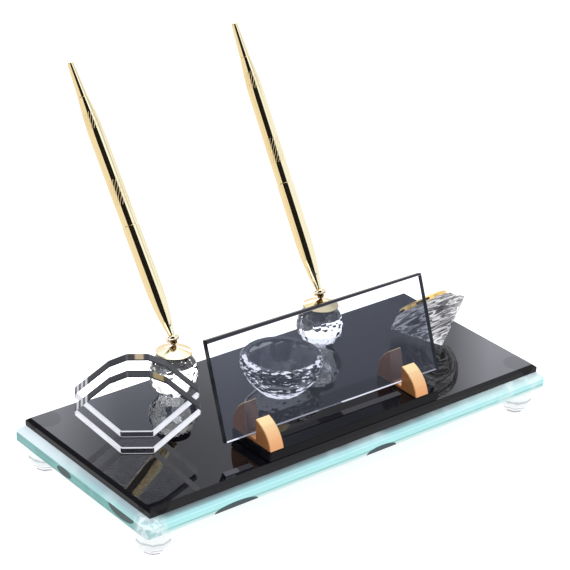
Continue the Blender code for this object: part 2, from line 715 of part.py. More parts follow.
def build_crystal(axis):
    corner = TABLE_RADIUS / cos(pi / 8)
    crown_slope = atan((CROWN_HEIGHT - GIRDLE_HALF) / (GIRDLE_RADIUS - corner))
    culet_depth = GIRDLE_HALF + GIRDLE_RADIUS * tan(PAVILION_SLOPE)
    planes = [
        (Vector((0, 0, CROWN_HEIGHT)), Vector((0, 0, 1))),
        (Vector((0, 0, CULET_FLAT - culet_depth)), Vector((0, 0, -1))),
    ]
    for index in range(GIRDLE_SIDES):
        angle = 2 * pi * (index + 0.5) / GIRDLE_SIDES
        out = Vector((cos(angle), sin(angle), 0))
        planes.append((out * GIRDLE_RADIUS, out))
    for index in range(8):
        main = pi / 4 * index
        planes.append(facet(main, crown_slope, GIRDLE_RADIUS, GIRDLE_HALF, 1))
        planes.append(facet(main, PAVILION_SLOPE, GIRDLE_RADIUS, -GIRDLE_HALF, -1))
        planes.append(facet(main + pi / 8, STAR_SLOPE, TABLE_RADIUS, CROWN_HEIGHT, 1))
        for half in (main - pi / 16, main + pi / 16):
            planes.append(facet(half, crown_slope + UPPER_HALF_EXTRA, GIRDLE_RADIUS, GIRDLE_HALF, 1))
            planes.append(facet(half, PAVILION_SLOPE + LOWER_HALF_EXTRA, GIRDLE_RADIUS, -GIRDLE_HALF, -1))
    crystal = piece_from("clock_crystal", cut_shape(2 * GIRDLE_RADIUS, planes), (0.93, 0.94, 0.96), 0.02)
    crystal.parent = axis
    outline = [
        (0.0, WELL_FLOOR),
        (WELL_RADIUS, WELL_FLOOR),
        (WELL_RADIUS, 2 * CROWN_HEIGHT),
        (0.0, 2 * CROWN_HEIGHT),
    ]
    well = piece_from("crystal_well", turned_shape(outline, FINE))
    well.parent = axis
    carve(crystal, well)


# Clock insert: case, bezel and glass round the dial, movement and hands
def build_case(axis):
    gold = (0.84, 0.62, 0.28)
    seat = CROWN_HEIGHT + GAP
    skirt = CASE_RADIUS - CASE_WALL - GAP
    outline = [
        (skirt - BEZEL_SKIRT / 2, CASE_TOP - BEZEL_SKIRT),
        (skirt, CASE_TOP - BEZEL_SKIRT),
        (skirt, CASE_TOP + GAP),
        (CASE_RADIUS + GAP, CASE_TOP + GAP),
        (CASE_RADIUS + GAP, seat),
        (BEZEL_RADIUS, seat),
        (BEZEL_RADIUS, BEZEL_TOP - BEZEL_ROUND),
        (BEZEL_RADIUS - BEZEL_ROUND * (1 - cos(pi / 4)), BEZEL_TOP - BEZEL_ROUND * (1 - sin(pi / 4))),
        (BEZEL_RADIUS - BEZEL_ROUND, BEZEL_TOP),
        (BEZEL_WINDOW + BEZEL_ROUND, BEZEL_TOP),
        (BEZEL_WINDOW, BEZEL_TOP - BEZEL_ROUND + GAP),
        (BEZEL_WINDOW, LENS_Z - GAP),
        (skirt - BEZEL_SKIRT / 2, LENS_Z - GAP),
    ]
    bezel = piece_from("clock_bezel", turned_shape(outline, FINE), gold, 0.12, 1.0, radians(35))
    lens_radius = BEZEL_WINDOW - GAP
    outline = [
        (0.0, LENS_Z),
        (lens_radius, LENS_Z),
        (lens_radius, LENS_Z + LENS_THICK),
        (0.0, LENS_Z + LENS_THICK),
    ]
    lens = piece_from("clock_lens", turned_shape(outline, FINE), (0.92, 0.94, 0.94), 0.03, 0.0, radians(35))
    floor_top = CASE_FLOOR + CASE_FLOOR_THICK
    arbor_hole = KNOB_RADIUS / 2
    bore = CASE_RADIUS - CASE_WALL
    outline = [
        (arbor_hole, CASE_FLOOR),
        (CASE_RADIUS - GRIP_THICK, CASE_FLOOR),
        (CASE_RADIUS - GRIP_THICK / 2, GRIP_START),
        (CASE_RADIUS - GRIP_THICK / 2, GRIP_START + GRIP_LENGTH),
        (CASE_RADIUS, GRIP_START + GRIP_LENGTH + GAP),
        (CASE_RADIUS, CASE_TOP),
        (bore, CASE_TOP),
        (bore, floor_top),
        (arbor_hole, floor_top),
    ]
    case = piece_from("clock_case", turned_shape(outline, FINE), gold, 0.2, 1.0, radians(35))
    grip_in = CASE_RADIUS - GRIP_THICK / 2 + GAP
    grip_out = WELL_RADIUS - 2 * RUNNING
    outline = [
        (grip_in, GRIP_START + GAP),
        (grip_out, GRIP_START + 2 * GAP),
        (grip_out, GRIP_START + GRIP_LENGTH - 2 * GAP),
        (grip_in, GRIP_START + GRIP_LENGTH - GAP),
    ]
    grip = piece_from("grip_ring", turned_shape(outline, FINE), (0.85, 0.85, 0.83), 0.5, 0.0, radians(35))
    dial_hole = ARBOR_RADIUS + GAP
    dial_radius = bore - GAP
    outline = [
        (dial_hole, DIAL_Z),
        (dial_radius, DIAL_Z),
        (dial_radius, DIAL_Z + DIAL_THICK),
        (dial_hole, DIAL_Z + DIAL_THICK),
    ]
    dial = piece_from("clock_dial", turned_shape(outline, FINE), (0.93, 0.92, 0.88), 0.4, 0.0, radians(35))
    for piece in (bezel, lens, case, grip, dial):
        piece.parent = axis


def build_movement(axis):
    hole = ARBOR_RADIUS + RUNNING
    outline = [
        (hole, MOVEMENT_Z),
        (MOVEMENT_RADIUS, MOVEMENT_Z),
        (MOVEMENT_RADIUS, DIAL_Z - GAP),
        (hole, DIAL_Z - GAP),
    ]
    movement = piece_from(
        "clock_movement", turned_shape(outline, MEDIUM), (0.12, 0.12, 0.13), 0.5, 0.0, radians(35)
    )
    movement.parent = axis
    pocket_depth = BATTERY_THICK + GAP
    outline = [
        (0.0, -pocket_depth),
        (BATTERY_RADIUS + GAP, -pocket_depth),
        (BATTERY_RADIUS + GAP, pocket_depth),
        (0.0, pocket_depth),
    ]
    pocket = piece_from("battery_pocket", turned_shape(outline, SMALL))
    pocket.parent = axis
    pocket.location = (BATTERY_X, 0.0, MOVEMENT_Z)
    carve(movement, pocket)
    outline = [
        (0.0, 0.0), (BATTERY_RADIUS - GAP, 0.0), (BATTERY_RADIUS, GAP), (BATTERY_RADIUS, BATTERY_THICK),
        (0.0, BATTERY_THICK),
    ]
    battery = piece_from(
        "clock_battery", turned_shape(outline, SMALL), (0.72, 0.73, 0.74), 0.2, 1.0, radians(35)
    )
    battery.parent = axis
    battery.location = (BATTERY_X, 0.0, MOVEMENT_Z)
    dial_face = DIAL_Z + DIAL_THICK
    minute_top = dial_face + HAND_FIRST + HAND_PITCH + HAND_THICK
    second_top = minute_top + HAND_PITCH
    knob_top = CASE_FLOOR - GAP
    shape = turned_shape([
        (0.0, knob_top - KNOB_THICK),
        (KNOB_RADIUS - KNOB_RIB_DEPTH, knob_top - KNOB_THICK),
        (KNOB_RADIUS, knob_top - KNOB_THICK + GAP),
        (KNOB_RADIUS, knob_top),
        (ARBOR_RADIUS, knob_top),
        (ARBOR_RADIUS, second_top),
        (0.0, second_top),
    ], 2 * KNOB_RIBS)
    for vertex in shape.verts:
        reach = hypot(vertex.co.x, vertex.co.y)
        across = Vector((vertex.co.x, vertex.co.y))
        if reach > KNOB_RADIUS - GAP / 2:
            share = across.angle_signed(Vector((1, 0))) / (2 * pi)
            if round(2 * KNOB_RIBS * (1 + share)) % 2:
                vertex.co.x *= 1 - KNOB_RIB_DEPTH / reach
                vertex.co.y *= 1 - KNOB_RIB_DEPTH / reach
    arbor = piece_from("setting_arbor", shape, (0.80, 0.70, 0.45), 0.3, 1.0, radians(35))
    arbor.parent = axis


def build_hands(axis):
    dial_face = DIAL_Z + DIAL_THICK
    hands = (
        ("hour_hand", HOUR_HAND, 0, HOUR_ANGLE),
        ("minute_hand", MINUTE_HAND, 1, MINUTE_ANGLE),
        ("second_hand", SECOND_HAND, 2, SECOND_ANGLE),
    )
    for name, (length, width, boss), level, angle in hands:
        hole = ARBOR_RADIUS + RUNNING
        colour = (0.05, 0.05, 0.06)
        disc = turned_shape([(hole, 0.0), (boss, 0.0), (boss, HAND_THICK), (hole, HAND_THICK)], SMALL)
        piece = piece_from(name, disc, colour, 0.3, 0.0)
        blade = [
            (-width, -HAND_TAIL),
            (width, -HAND_TAIL),
            (width, 0),
            (width / 3, length),
            (-width / 3, length),
            (-width, 0),
        ]
        arm_shape = prism_shape(blade, HAND_THICK)
        bmesh.ops.rotate(arm_shape, verts=arm_shape.verts, matrix=Matrix.Rotation(pi / 2, 3, "X"))
        arm = piece_from(name + "_arm", arm_shape)
        hub = [
            (0.0, -HAND_THICK),
            (boss - GAP / 2, -HAND_THICK),
            (boss - GAP / 2, 2 * HAND_THICK),
            (0.0, 2 * HAND_THICK),
        ]
        cut = piece_from(name + "_hole", turned_shape(hub, SMALL))
        for item in (piece, arm, cut):
            item.parent = axis
            item.location = (0.0, 0.0, dial_face + HAND_FIRST + HAND_PITCH * level)
            item.rotation_euler = (0.0, 0.0, angle)
        carve(arm, cut)
        carve(piece, arm, "UNION")


def build_clock():
    axis = bpy.data.objects.new("clock_axis", None)
    bpy.context.scene.collection.objects.link(axis)
    rest = GIRDLE_RADIUS * sin(PAVILION_SLOPE) + GIRDLE_HALF * cos(PAVILION_SLOPE)
    axis.location = (CLOCK_X, BASE_Y + CLOCK_Y, ITEM_Z + rest)
    axis.rotation_euler = (-PAVILION_SLOPE, 0.0, CLOCK_TURN)
    build_crystal(axis)
    build_case(axis)
    build_movement(axis)
    build_hands(axis)


build_plinth()
build_slab()
build_feet()
build_card_plates()
build_bowl()
build_name_plate(build_bar_and_stands())
build_pens()
build_clock()
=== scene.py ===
"""Crystal desk set: glass base, card plates, cut bowl, swivel pens, name plate and a brilliant-cut clock."""

import json
import logging
from dataclasses import dataclass
from enum import Enum
from math import cos, radians, sin
from typing import Dict, List, Optional, Sequence, Tuple, Union

import bmesh
import bpy
import numpy as np
from mathutils import Matrix, Vector

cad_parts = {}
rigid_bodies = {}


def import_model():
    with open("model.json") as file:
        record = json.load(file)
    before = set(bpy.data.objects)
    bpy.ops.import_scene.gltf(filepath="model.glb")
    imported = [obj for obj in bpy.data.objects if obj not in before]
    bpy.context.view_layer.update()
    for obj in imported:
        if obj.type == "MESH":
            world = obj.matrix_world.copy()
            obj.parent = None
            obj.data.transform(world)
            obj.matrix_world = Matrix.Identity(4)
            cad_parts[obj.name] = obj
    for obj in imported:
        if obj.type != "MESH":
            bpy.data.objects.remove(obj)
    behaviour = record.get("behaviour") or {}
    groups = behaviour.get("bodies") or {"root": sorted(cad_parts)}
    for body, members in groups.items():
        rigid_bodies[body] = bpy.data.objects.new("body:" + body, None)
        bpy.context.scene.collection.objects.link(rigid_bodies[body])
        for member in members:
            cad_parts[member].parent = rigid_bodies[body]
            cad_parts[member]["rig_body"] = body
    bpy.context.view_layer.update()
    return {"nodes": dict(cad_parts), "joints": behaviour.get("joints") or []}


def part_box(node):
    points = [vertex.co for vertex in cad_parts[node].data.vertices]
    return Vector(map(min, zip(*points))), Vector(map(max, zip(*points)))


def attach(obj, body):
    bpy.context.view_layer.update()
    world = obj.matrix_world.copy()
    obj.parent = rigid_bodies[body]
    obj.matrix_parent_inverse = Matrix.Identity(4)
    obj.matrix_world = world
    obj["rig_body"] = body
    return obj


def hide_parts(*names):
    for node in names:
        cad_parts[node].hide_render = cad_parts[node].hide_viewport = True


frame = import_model()

log = logging.getLogger("desk_set")

Colour = Tuple[float, float, float]
Point = Tuple[float, float, float]
Span = Tuple[float, float]
Socket = bpy.types.NodeSocket
Value = Union[Socket, float]
MM = 0.001
STROKE = "stroke"
UP = (0.0, 0.0, 1.0)
FRONT = (0.0, -1.0, 0.0)
LEFT = (-1.0, 0.0, 0.0)
RIGHT = (1.0, 0.0, 0.0)
TO_CAMERA = (-0.64, -0.77, 0.0)
CAMERA_RIGHT = (0.77, -0.64, 0.0)


def plan_middle(name: str) -> Span:
    """Finds x and y of the middle of a CAD node."""
    low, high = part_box(name)
    return (low.x + high.x) / 2, (low.y + high.y) / 2


def middle_of(name: str) -> Point:
    """Finds the middle of a CAD node."""
    low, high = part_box(name)
    return tuple((low + high) / 2)


def put(name: str, data: bpy.types.ID) -> bpy.types.Object:
    """Adds an object to the scene.

    Args:
        name: name of the object.
        data: its mesh, lamp or camera.

    Returns:
        The new object, at the origin.
    """
    made = bpy.data.objects.new(name, data)
    bpy.context.scene.collection.objects.link(made)
    return made


class Axis(Enum):
    """Axes of the shared frame, with their index in a vector."""

    X = 0
    Y = 1
    Z = 2


class Graph:
    """Small builder of shader node trees."""

    def __init__(self, name: str) -> None:
        """Starts a material with an empty node tree.

        Args:
            name: name of the material.
        """
        self.material = bpy.data.materials.new(name)
        self.material.use_nodes = True
        self.tree = self.material.node_tree
        self.tree.nodes.clear()
        self.output = self.tree.nodes.new("ShaderNodeOutputMaterial")

    def node(self, kind: str, **inputs: object) -> bpy.types.Node:
        """Adds a node and sets or links its inputs.

        Args:
            kind: node type without the ShaderNode prefix.
            inputs: values or sockets by input name, underscores for spaces, or settings with the prefix set_.

        Returns:
            The new node.
        """
        made = self.tree.nodes.new("ShaderNode" + kind)
        for key, value in inputs.items():
            if key.startswith("set_"):
                setattr(made, key[4:], value)
        for key, value in inputs.items():
            if key.startswith("set_"):
                continue
            place = int(key[1:]) if key[0] == "i" and key[1:].isdigit() else key.replace("_", " ")
            self.feed(made.inputs[place], value)
        return made

    def feed(self, socket: Socket, value: object) -> None:
        """Links or sets one socket.

        Args:
            socket: input to fill.
            value: socket, number or colour.
        """
        if isinstance(value, Socket):
            self.tree.links.new(value, socket)
        elif socket.type == "RGBA" and len(value) == 3:
            socket.default_value = (*value, 1.0)
        else:
            socket.default_value = value

    def maths(self, operation: str, first: object, second: object = 0.0, third: object = 0.0) -> Socket:
        """Adds a math node."""
        return self.node("Math", set_operation=operation, i0=first, i1=second, i2=third).outputs[0]

    def times(self, first: object, second: object) -> Socket:
        """Product of two values."""
        return self.maths("MULTIPLY", first, second)

    def plus(self, first: object, second: object) -> Socket:
        """Sum of two values."""
        return self.maths("ADD", first, second)

    def less(self, first: object, second: object) -> Socket:
        """First value less the second."""
        return self.maths("SUBTRACT", first, second)

    def over(self, first: object, second: object) -> Socket:
        """First value divided by the second."""
        return self.maths("DIVIDE", first, second)

    def line(self, value: object, slope: object, start: object) -> Socket:
        """Value times slope, plus start."""
        return self.maths("MULTIPLY_ADD", value, slope, start)

    def size(self, value: object) -> Socket:
        """Value without its sign."""
        return self.maths("ABSOLUTE", value)

    def most(self, first: object, second: object) -> Socket:
        """The larger of two values."""
        return self.maths("MAXIMUM", first, second)

    def reach(self, first: object, second: object) -> Socket:
        """Root of the sum of two squares."""
        return self.maths("SQRT", self.plus(self.maths("POWER", first, 2.0), self.maths("POWER", second, 2.0)))

    def step(self, value: object, start: float, end: float) -> Socket:
        """Smooth step from 0 at start to 1 at end; falls if end is below start.

        Args:
            value: driving socket.
            start: value with result 0.
            end: value with result 1.

        Returns:
            The result's socket.
        """
        made = self.node(
            "MapRange", set_interpolation_type="SMOOTHSTEP", i0=value, i1=start, i2=end, i3=0.0, i4=1.0
        )
        return made.outputs[0]

    def window(self, value: object, low: float, high: float, soft: float) -> Socket:
        """1 between low and high, 0 outside, with soft edges."""
        rise = self.step(value, low - soft, low + soft)
        return self.times(rise, self.step(value, high + soft, high - soft))

    def mix(self, factor: object, first: object, second: object) -> Socket:
        """Mixes two colours.

        Args:
            factor: share of the second colour.
            first: first colour or socket.
            second: second colour or socket.

        Returns:
            The mixed colour's socket.
        """
        made = self.node("Mix", set_data_type="RGBA", i0=factor)
        self.feed(made.inputs[6], first)
        self.feed(made.inputs[7], second)
        return made.outputs[2]

    def ramp(self, factor: Socket, stops: Sequence[Tuple[float, Union[Colour, float]]]) -> Socket:
        """Adds a colour ramp.

        Args:
            factor: socket that drives the ramp.
            stops: positions with their colours, or greys as one number, in rising order.

        Returns:
            The colour socket.
        """
        made = self.node("ValToRGB", Fac=factor)
        elements = made.color_ramp.elements
        while len(elements) < len(stops):
            elements.new(1.0)
        for element, (place, colour) in zip(elements, stops):
            element.position = place
            element.color = (colour,) * 3 + (1.0,) if isinstance(colour, float) else (*colour, 1.0)
        return made.outputs["Color"]

    def coordinates(self) -> Socket:
        """Object coordinates, which are the shared frame in metres for every piece here."""
        return self.node("TexCoord").outputs["Object"]

    def along(self, axis: Axis, origin: float = 0.0) -> Socket:
        """One coordinate of the shared frame.

        Args:
            axis: which coordinate.
            origin: where it is 0, in metres.

        Returns:
            The value's socket, in millimetres.
        """
        split = self.node("SeparateXYZ", Vector=self.coordinates())
        shifted = self.less(split.outputs[axis.value], origin)
        return self.over(shifted, MM)

    def facing(self, direction: Sequence[float]) -> Socket:
        """How far a face looks towards a direction."""
        return self.dot(self.normal(), direction)

    def normal(self) -> Socket:
        """Outward normal of the face in the shared frame."""
        return self.node("NewGeometry").outputs["True Normal"]

    def vector(self, operation: str, **inputs: object) -> bpy.types.bpy_prop_collection:
        """Adds a vector math node and gives its outputs."""
        return self.node("VectorMath", set_operation=operation, **inputs).outputs

    def offset(self, origin: Sequence[float]) -> Socket:
        """Object coordinates less a point in metres."""
        return self.vector("SUBTRACT", i0=self.coordinates(), i1=tuple(origin))[0]

    def dot(self, vector: Socket, direction: Sequence[float]) -> Socket:
        """Length of a vector along a unit vector."""
        return self.vector("DOT_PRODUCT", i0=vector, i1=tuple(direction))["Value"]

    def distance(self, point: Sequence[float]) -> Socket:
        """Distance from a point in metres."""
        return self.vector("DISTANCE", i0=self.coordinates(), i1=tuple(point))["Value"]

    def scaled(self, vector: Union[Socket, Point], factor: Value) -> Socket:
        """Vector times a number."""
        return self.vector("SCALE", i0=vector, Scale=factor)[0]

    def joined(self, first: Socket, second: Socket) -> Socket:
        """Sum of two vectors."""
        return self.vector("ADD", i0=first, i1=second)[0]

    def plan(self, centre: Span, direction: Point) -> Socket:
        """Distance in plan from a centre in metres along a direction, in millimetres."""
        x, y = self.along(Axis.X, centre[0]), self.along(Axis.Y, centre[1])
        return self.line(x, direction[0], self.times(y, direction[1]))

    def noise(self, scale: float, detail: float = 2.0, stretch: Optional[Sequence[float]] = None) -> Socket:
        """Adds a noise texture on the Object coordinates.

        Args:
            scale: noise cells per metre.
            detail: octaves of the noise.
            stretch: factors on the three coordinates.

        Returns:
            The noise value's socket.
        """
        place = self.coordinates()
        if stretch is not None:
            place = self.node("Mapping", Vector=place, Scale=tuple(stretch)).outputs[0]
        return self.node("TexNoise", Vector=place, Scale=scale, Detail=detail).outputs["Fac"]

    def speck(self, scale: float, share: float) -> Socket:
        """Sparse dust specks."""
        return self.maths("GREATER_THAN", self.noise(scale, 1.0), share)

    def wear(self, least: float) -> Socket:
        """Roughness of handled metal, with its fine wear."""
        return self.line(self.noise(900.0, 5.0), 0.06, least)

    def drift(self, scale: float, colour: Colour, least: float) -> Socket:
        """Colour that drifts over the surface, down to a share of itself."""
        return self.mix(self.noise(scale), colour, tuple(part * least for part in colour))

    def principled(self, **inputs: object) -> bpy.types.Material:
        """Finishes the material as one principled shader."""
        return self.done(self.node("BsdfPrincipled", **inputs))

    def metal(self, tone: Socket, rough: Socket) -> bpy.types.Material:
        """Finishes the material as bare metal."""
        return self.principled(Base_Color=tone, Metallic=1.0, Roughness=rough)

    def blend(self, share: Value, first: bpy.types.Node, second: bpy.types.Node) -> bpy.types.Material:
        """Finishes the material as a blend of two shaders, by the share of the second."""
        return self.done(self.node("MixShader", Fac=share, i1=first.outputs[0], i2=second.outputs[0]))

    def done(self, shader: bpy.types.Node) -> bpy.types.Material:
        """Links the shader to the output.

        Glowing surfaces are seen but not sampled as lamps, which keeps noise low.

        Args:
            shader: node whose first output is the surface.

        Returns:
            The finished material.
        """
        self.material.cycles.emission_sampling = "NONE"
        self.tree.links.new(shader.outputs[0], self.output.inputs["Surface"])
        return self.material


@dataclass(frozen=True)
class Finish:
    """Look of a piece.

    Attributes:
        name: name of its material.
    """

    name: str

    def make(self) -> bpy.types.Material:
        """Makes the material."""
        raise NotImplementedError


@dataclass(frozen=True)
class Crystal(Finish):
    """Clear cut glass.

    Attributes:
        tint: colour of the light that goes through.
        ior: refractive index.
    """

    tint: Colour = (0.985, 0.99, 0.995)
    ior: float = 1.52

    def glow(self, graph: Graph) -> Optional[Tuple[Socket, Value]]:
        """Painted glow that stands in for the light the cuts gather inside the crystal; plain glass has none.
        """
        return None

    def make(self) -> bpy.types.Material:
        """Makes the material.

        Returns:
            Glass whose tint drifts a little over the surface, with the painted glow of its cuts.
        """
        graph = Graph(self.name)
        tint = graph.drift(18.0, self.tint, 0.97)
        glass = graph.node(
            "BsdfPrincipled", Base_Color=tint, Roughness=0.0, IOR=self.ior, Transmission_Weight=1.0
        )
        glow = self.glow(graph)
        if glow is None:
            return graph.done(glass)
        tone, share = glow
        # painted light: an emissive layer over the glass stands in for the light and shade of the cuts
        paint = graph.node(
            "BsdfPrincipled", Base_Color=(0.01, 0.01, 0.01, 1.0), Roughness=0.1, IOR=1.3,
            Emission_Color=tone, Emission_Strength=1.0
        )
        return graph.blend(share, glass, paint)


@dataclass(frozen=True)
class BowlCrystal(Crystal):
    """Cut bowl with painted light and shade: white lower facets with black lines, a dark middle row and a busy
    rim.

    Attributes:
        bottom: height of the bowl's foot in metres.
        centre: x and y of its axis in metres.
    """

    bottom: float = 0.0
    centre: Span = (0.0, 0.0)

    def glow(self, graph: Graph) -> Tuple[Socket, Value]:
        """Painted light and shade by height and cut, and painted shade at the rear.

        Args:
            graph: material being built.

        Returns:
            Its tone and its share of the surface.
        """
        height = graph.along(Axis.Z, self.bottom)
        away = graph.reach(graph.along(Axis.X, self.centre[0]), graph.along(Axis.Y, self.centre[1]))
        wall = graph.line(graph.maths("MINIMUM", height, 20.0), 0.50, 11.5)
        outside = graph.step(graph.less(away, wall), 0.0, 0.4)
        near = graph.step(graph.plan(self.centre, TO_CAMERA), -3.0, 5.0)
        streak = graph.noise(260.0, 2.0, (1.0, 1.0, 3.2))
        wanted = graph.ramp(
            graph.over(height, 24.0),
            [
                (0.0, 0.36), (0.24, 0.41), (0.34, 0.64), (0.40, 0.53),
                (0.50, 0.64), (0.70, 0.64), (0.84, 0.62), (1.0, 0.56),
            ],
        )
        aside = graph.step(graph.size(graph.plan(self.centre, CAMERA_RIGHT)), 9.0, 17.0)
        level = graph.less(streak, graph.line(aside, -0.06, wanted))
        # painted light and shade: glowing white facets with near-black lines, by height
        tone = graph.mix(graph.step(level, -0.02, 0.02), (0.008, 0.008, 0.012), (1.75, 1.78, 1.88))
        # painted shade: the rear half glows dark grey, standing in for the bowl's dark inside
        tone = graph.mix(near, (0.075, 0.08, 0.10), tone)
        sure = graph.step(graph.size(level), 0.0, 0.04)
        share = graph.mix(near, (0.85,) * 3, graph.mix(sure, (0.2,) * 3, (0.8,) * 3))
        return tone, graph.times(share, outside)


@dataclass(frozen=True)
class FootCrystal(Crystal):
    """Ball foot whose lower facets show as grey rings.

    Attributes:
        bottom: height of its underside in metres.
        share: share of the painted rings in its surface.
    """

    bottom: float = 0.0
    share: float = 0.88

    def glow(self, graph: Graph) -> Tuple[Socket, Value]:
        """Painted grey and white rings of light by height.

        Args:
            graph: material being built.

        Returns:
            Their tone and their share of the surface.
        """
        height = graph.line(graph.noise(260.0, 1.0), 1.6, graph.along(Axis.Z, self.bottom))
        # painted light and shade: glowing rings stand in for what the lower facets refract
        rings = [
            (0.0, (0.30, 0.31, 0.34)), (0.12, (0.22, 0.23, 0.26)), (0.20, (0.95, 0.96, 0.98)),
            (0.30, (0.90, 0.91, 0.93)), (0.36, (0.34, 0.36, 0.38)), (0.42, (0.95, 0.97, 0.98)),
            (0.62, (0.86, 0.90, 0.91)), (0.70, (0.45, 0.50, 0.51)), (0.78, (0.92, 0.97, 0.97)),
        ]
        return graph.ramp(graph.over(height, 14.0), rings), self.share


@dataclass(frozen=True)
class StreakCrystal(Crystal):
    """Brilliant cut whose facets mirror each other, painted as fine glowing streaks along the girdle.

    Attributes:
        origin: point on its axis in metres.
        centre: middle of the crystal in metres.
        axis: unit vector of its axis.
        squeeze: how much shorter the streaks are along the axis than across it, less one.
        shift: how far the pattern jumps with the normal of a facet, in metres.
        cells: noise cells per metre.
    """

    origin: Point = (0.0, 0.0, 0.0)
    centre: Point = (0.0, 0.0, 0.0)
    axis: Point = (0.0, 0.0, 1.0)
    squeeze: float = 9.0
    shift: float = 0.012
    cells: float = 42.0

    def glow(self, graph: Graph) -> Tuple[Socket, Value]:
        """Painted streaks of reflected light across the axis, shifted from facet to facet.

        Args:
            graph: material being built.

        Returns:
            Their tone and their share of the surface.
        """
        offset = graph.offset(self.origin)
        squeeze = graph.scaled(self.axis, graph.times(graph.dot(offset, self.axis), self.squeeze))
        shift = graph.scaled(graph.normal(), self.shift)
        place = graph.joined(graph.joined(offset, squeeze), shift)
        wave = graph.node("TexNoise", Vector=place, Scale=self.cells, Detail=1.5).outputs["Fac"]
        # painted reflections: dark, grey and white streaks
        tone = graph.ramp(
            wave,
            [
                (0.0, (0.02, 0.02, 0.03)), (0.43, (0.03, 0.03, 0.04)), (0.465, (0.18, 0.18, 0.21)), (0.49, 1.0),
                (0.52, 1.0), (0.54, (0.20, 0.20, 0.23)), (0.59, (0.05, 0.05, 0.06)), (0.63, (0.85, 0.85, 0.90)),
            ],
        )
        # painted shade: darker on the visitor's left
        dim = graph.step(graph.plan(self.centre[:2], CAMERA_RIGHT), 4.0, -5.0)
        tone = graph.mix(graph.times(dim, 0.5), tone, (0.03, 0.032, 0.045))
        # painted light: lighter towards the foot
        foot = graph.step(graph.along(Axis.Z, self.centre[2]), -13.0, -17.0)
        tone = graph.mix(graph.times(foot, 0.8), tone, (0.95, 0.95, 1.0))
        share = graph.line(graph.step(wave, 0.47, 0.50), 0.12, 0.60)
        return tone, graph.line(dim, 0.2, share)


@dataclass(frozen=True)
class Glint:
    """Patch of another tone on the edge of a plate.

    Attributes:
        span: its start and end along the plate, in millimetres.
        levels: lowest and highest height of the edge normal that takes it.
        tone: its painted colour.
    """

    span: Span
    levels: Span
    tone: Colour


@dataclass(frozen=True)
class EdgedGlass(Finish):
    """Clear glass plate whose thin edge faces show what the glass gathers: black, grey or white.

    Attributes:
        face: unit normal of the plate's two large faces.
        along: unit vector along the plate.
        middle: the plate's middle in metres.
        girth: height of its widest place in metres; edges above it face up, edges below it face down.
        bands: lowest height of the edge normal and the painted edge colour from there up, in rising order.
        glints: painted patches of light and shade on the edges.
        tint: colour of the light that goes through.
        hem: span up the plate from its middle, in millimetres, where its faces show a painted reflection of the
            upper edge.
        veil: faint painted glow on its faces, standing in for the light they mirror.
    """

    face: Point
    along: Point
    middle: Point
    girth: float
    bands: Tuple[Tuple[float, Colour], ...]
    glints: Tuple[Glint, ...] = ()
    tint: Colour = (0.985, 0.99, 0.995)
    hem: Span = (90.0, 99.0)
    veil: Colour = (0.004, 0.0045, 0.007)

    def measure(self, graph: Graph, direction: Sequence[float]) -> Socket:
        """Distance from the plate's middle along a direction."""
        return graph.over(graph.dot(graph.offset(self.middle), direction), MM)

    def make(self) -> bpy.types.Material:
        """Makes the material.

        Returns:
            Glass on the large faces, with painted light and shade on the edges and the hem.
        """
        graph = Graph(self.name)
        flat = graph.step(graph.size(graph.facing(self.face)), 0.80, 0.88)
        upper = graph.step(graph.along(Axis.Z, self.girth), -0.05, 0.05)
        steep = graph.size(graph.facing(UP))
        height = graph.times(steep, graph.line(upper, 2.0, -1.0))
        tone = graph.ramp(
            graph.line(height, 0.5, 0.5), [(0.5 + 0.5 * low, shade) for low, shade in self.bands]
        )
        tone.node.color_ramp.interpolation = "CONSTANT"
        # painted light and shade: grey streaks over the edges, except where they face straight down
        streak = graph.times(graph.step(graph.noise(60.0, 2.0), 0.35, 0.65), 0.35)
        streak = graph.times(streak, graph.step(height, -0.97, -0.85))
        tone = graph.mix(streak, tone, graph.mix(0.5, tone, (0.10, 0.105, 0.115)))
        # painted glints along the plate
        place = self.measure(graph, self.along)
        for glint in self.glints:
            here = graph.window(place, *glint.span, 0.7)
            here = graph.times(here, graph.window(height, *glint.levels, 0.02))
            tone = graph.mix(here, tone, glint.tone)
        # painted reflection of the upper edge on the faces: a dark band with thin light lines at its edges
        climb = self.measure(graph, Vector(self.along).cross(Vector(self.face)))
        hem = graph.window(climb, *self.hem, 0.02)
        line = graph.window(climb, self.hem[0] + 0.3, self.hem[1] - 0.25, 0.1)
        tone = graph.mix(graph.times(hem, flat), tone, graph.mix(line, (0.30, 0.30, 0.33), (0.04, 0.04, 0.05)))
        # the edges glow with their painted tone
        rim = graph.node(
            "BsdfPrincipled", Base_Color=(0.004, 0.004, 0.005, 1.0), Roughness=0.1, IOR=1.25,
            Specular_IOR_Level=0.1, Emission_Color=tone, Emission_Strength=1.0
        )
        tint = graph.drift(25.0, self.tint, 0.98)
        # the faces glow faintly with the veil, a painted reflection
        clear = graph.node(
            "BsdfPrincipled", Base_Color=tint, Roughness=0.0, IOR=1.12, Transmission_Weight=1.0,
            Specular_Tint=(0.25, 0.25, 0.25, 1.0), Emission_Color=self.veil, Emission_Strength=1.0
        )
        return graph.blend(graph.times(flat, graph.less(1.0, hem)), rim, clear)


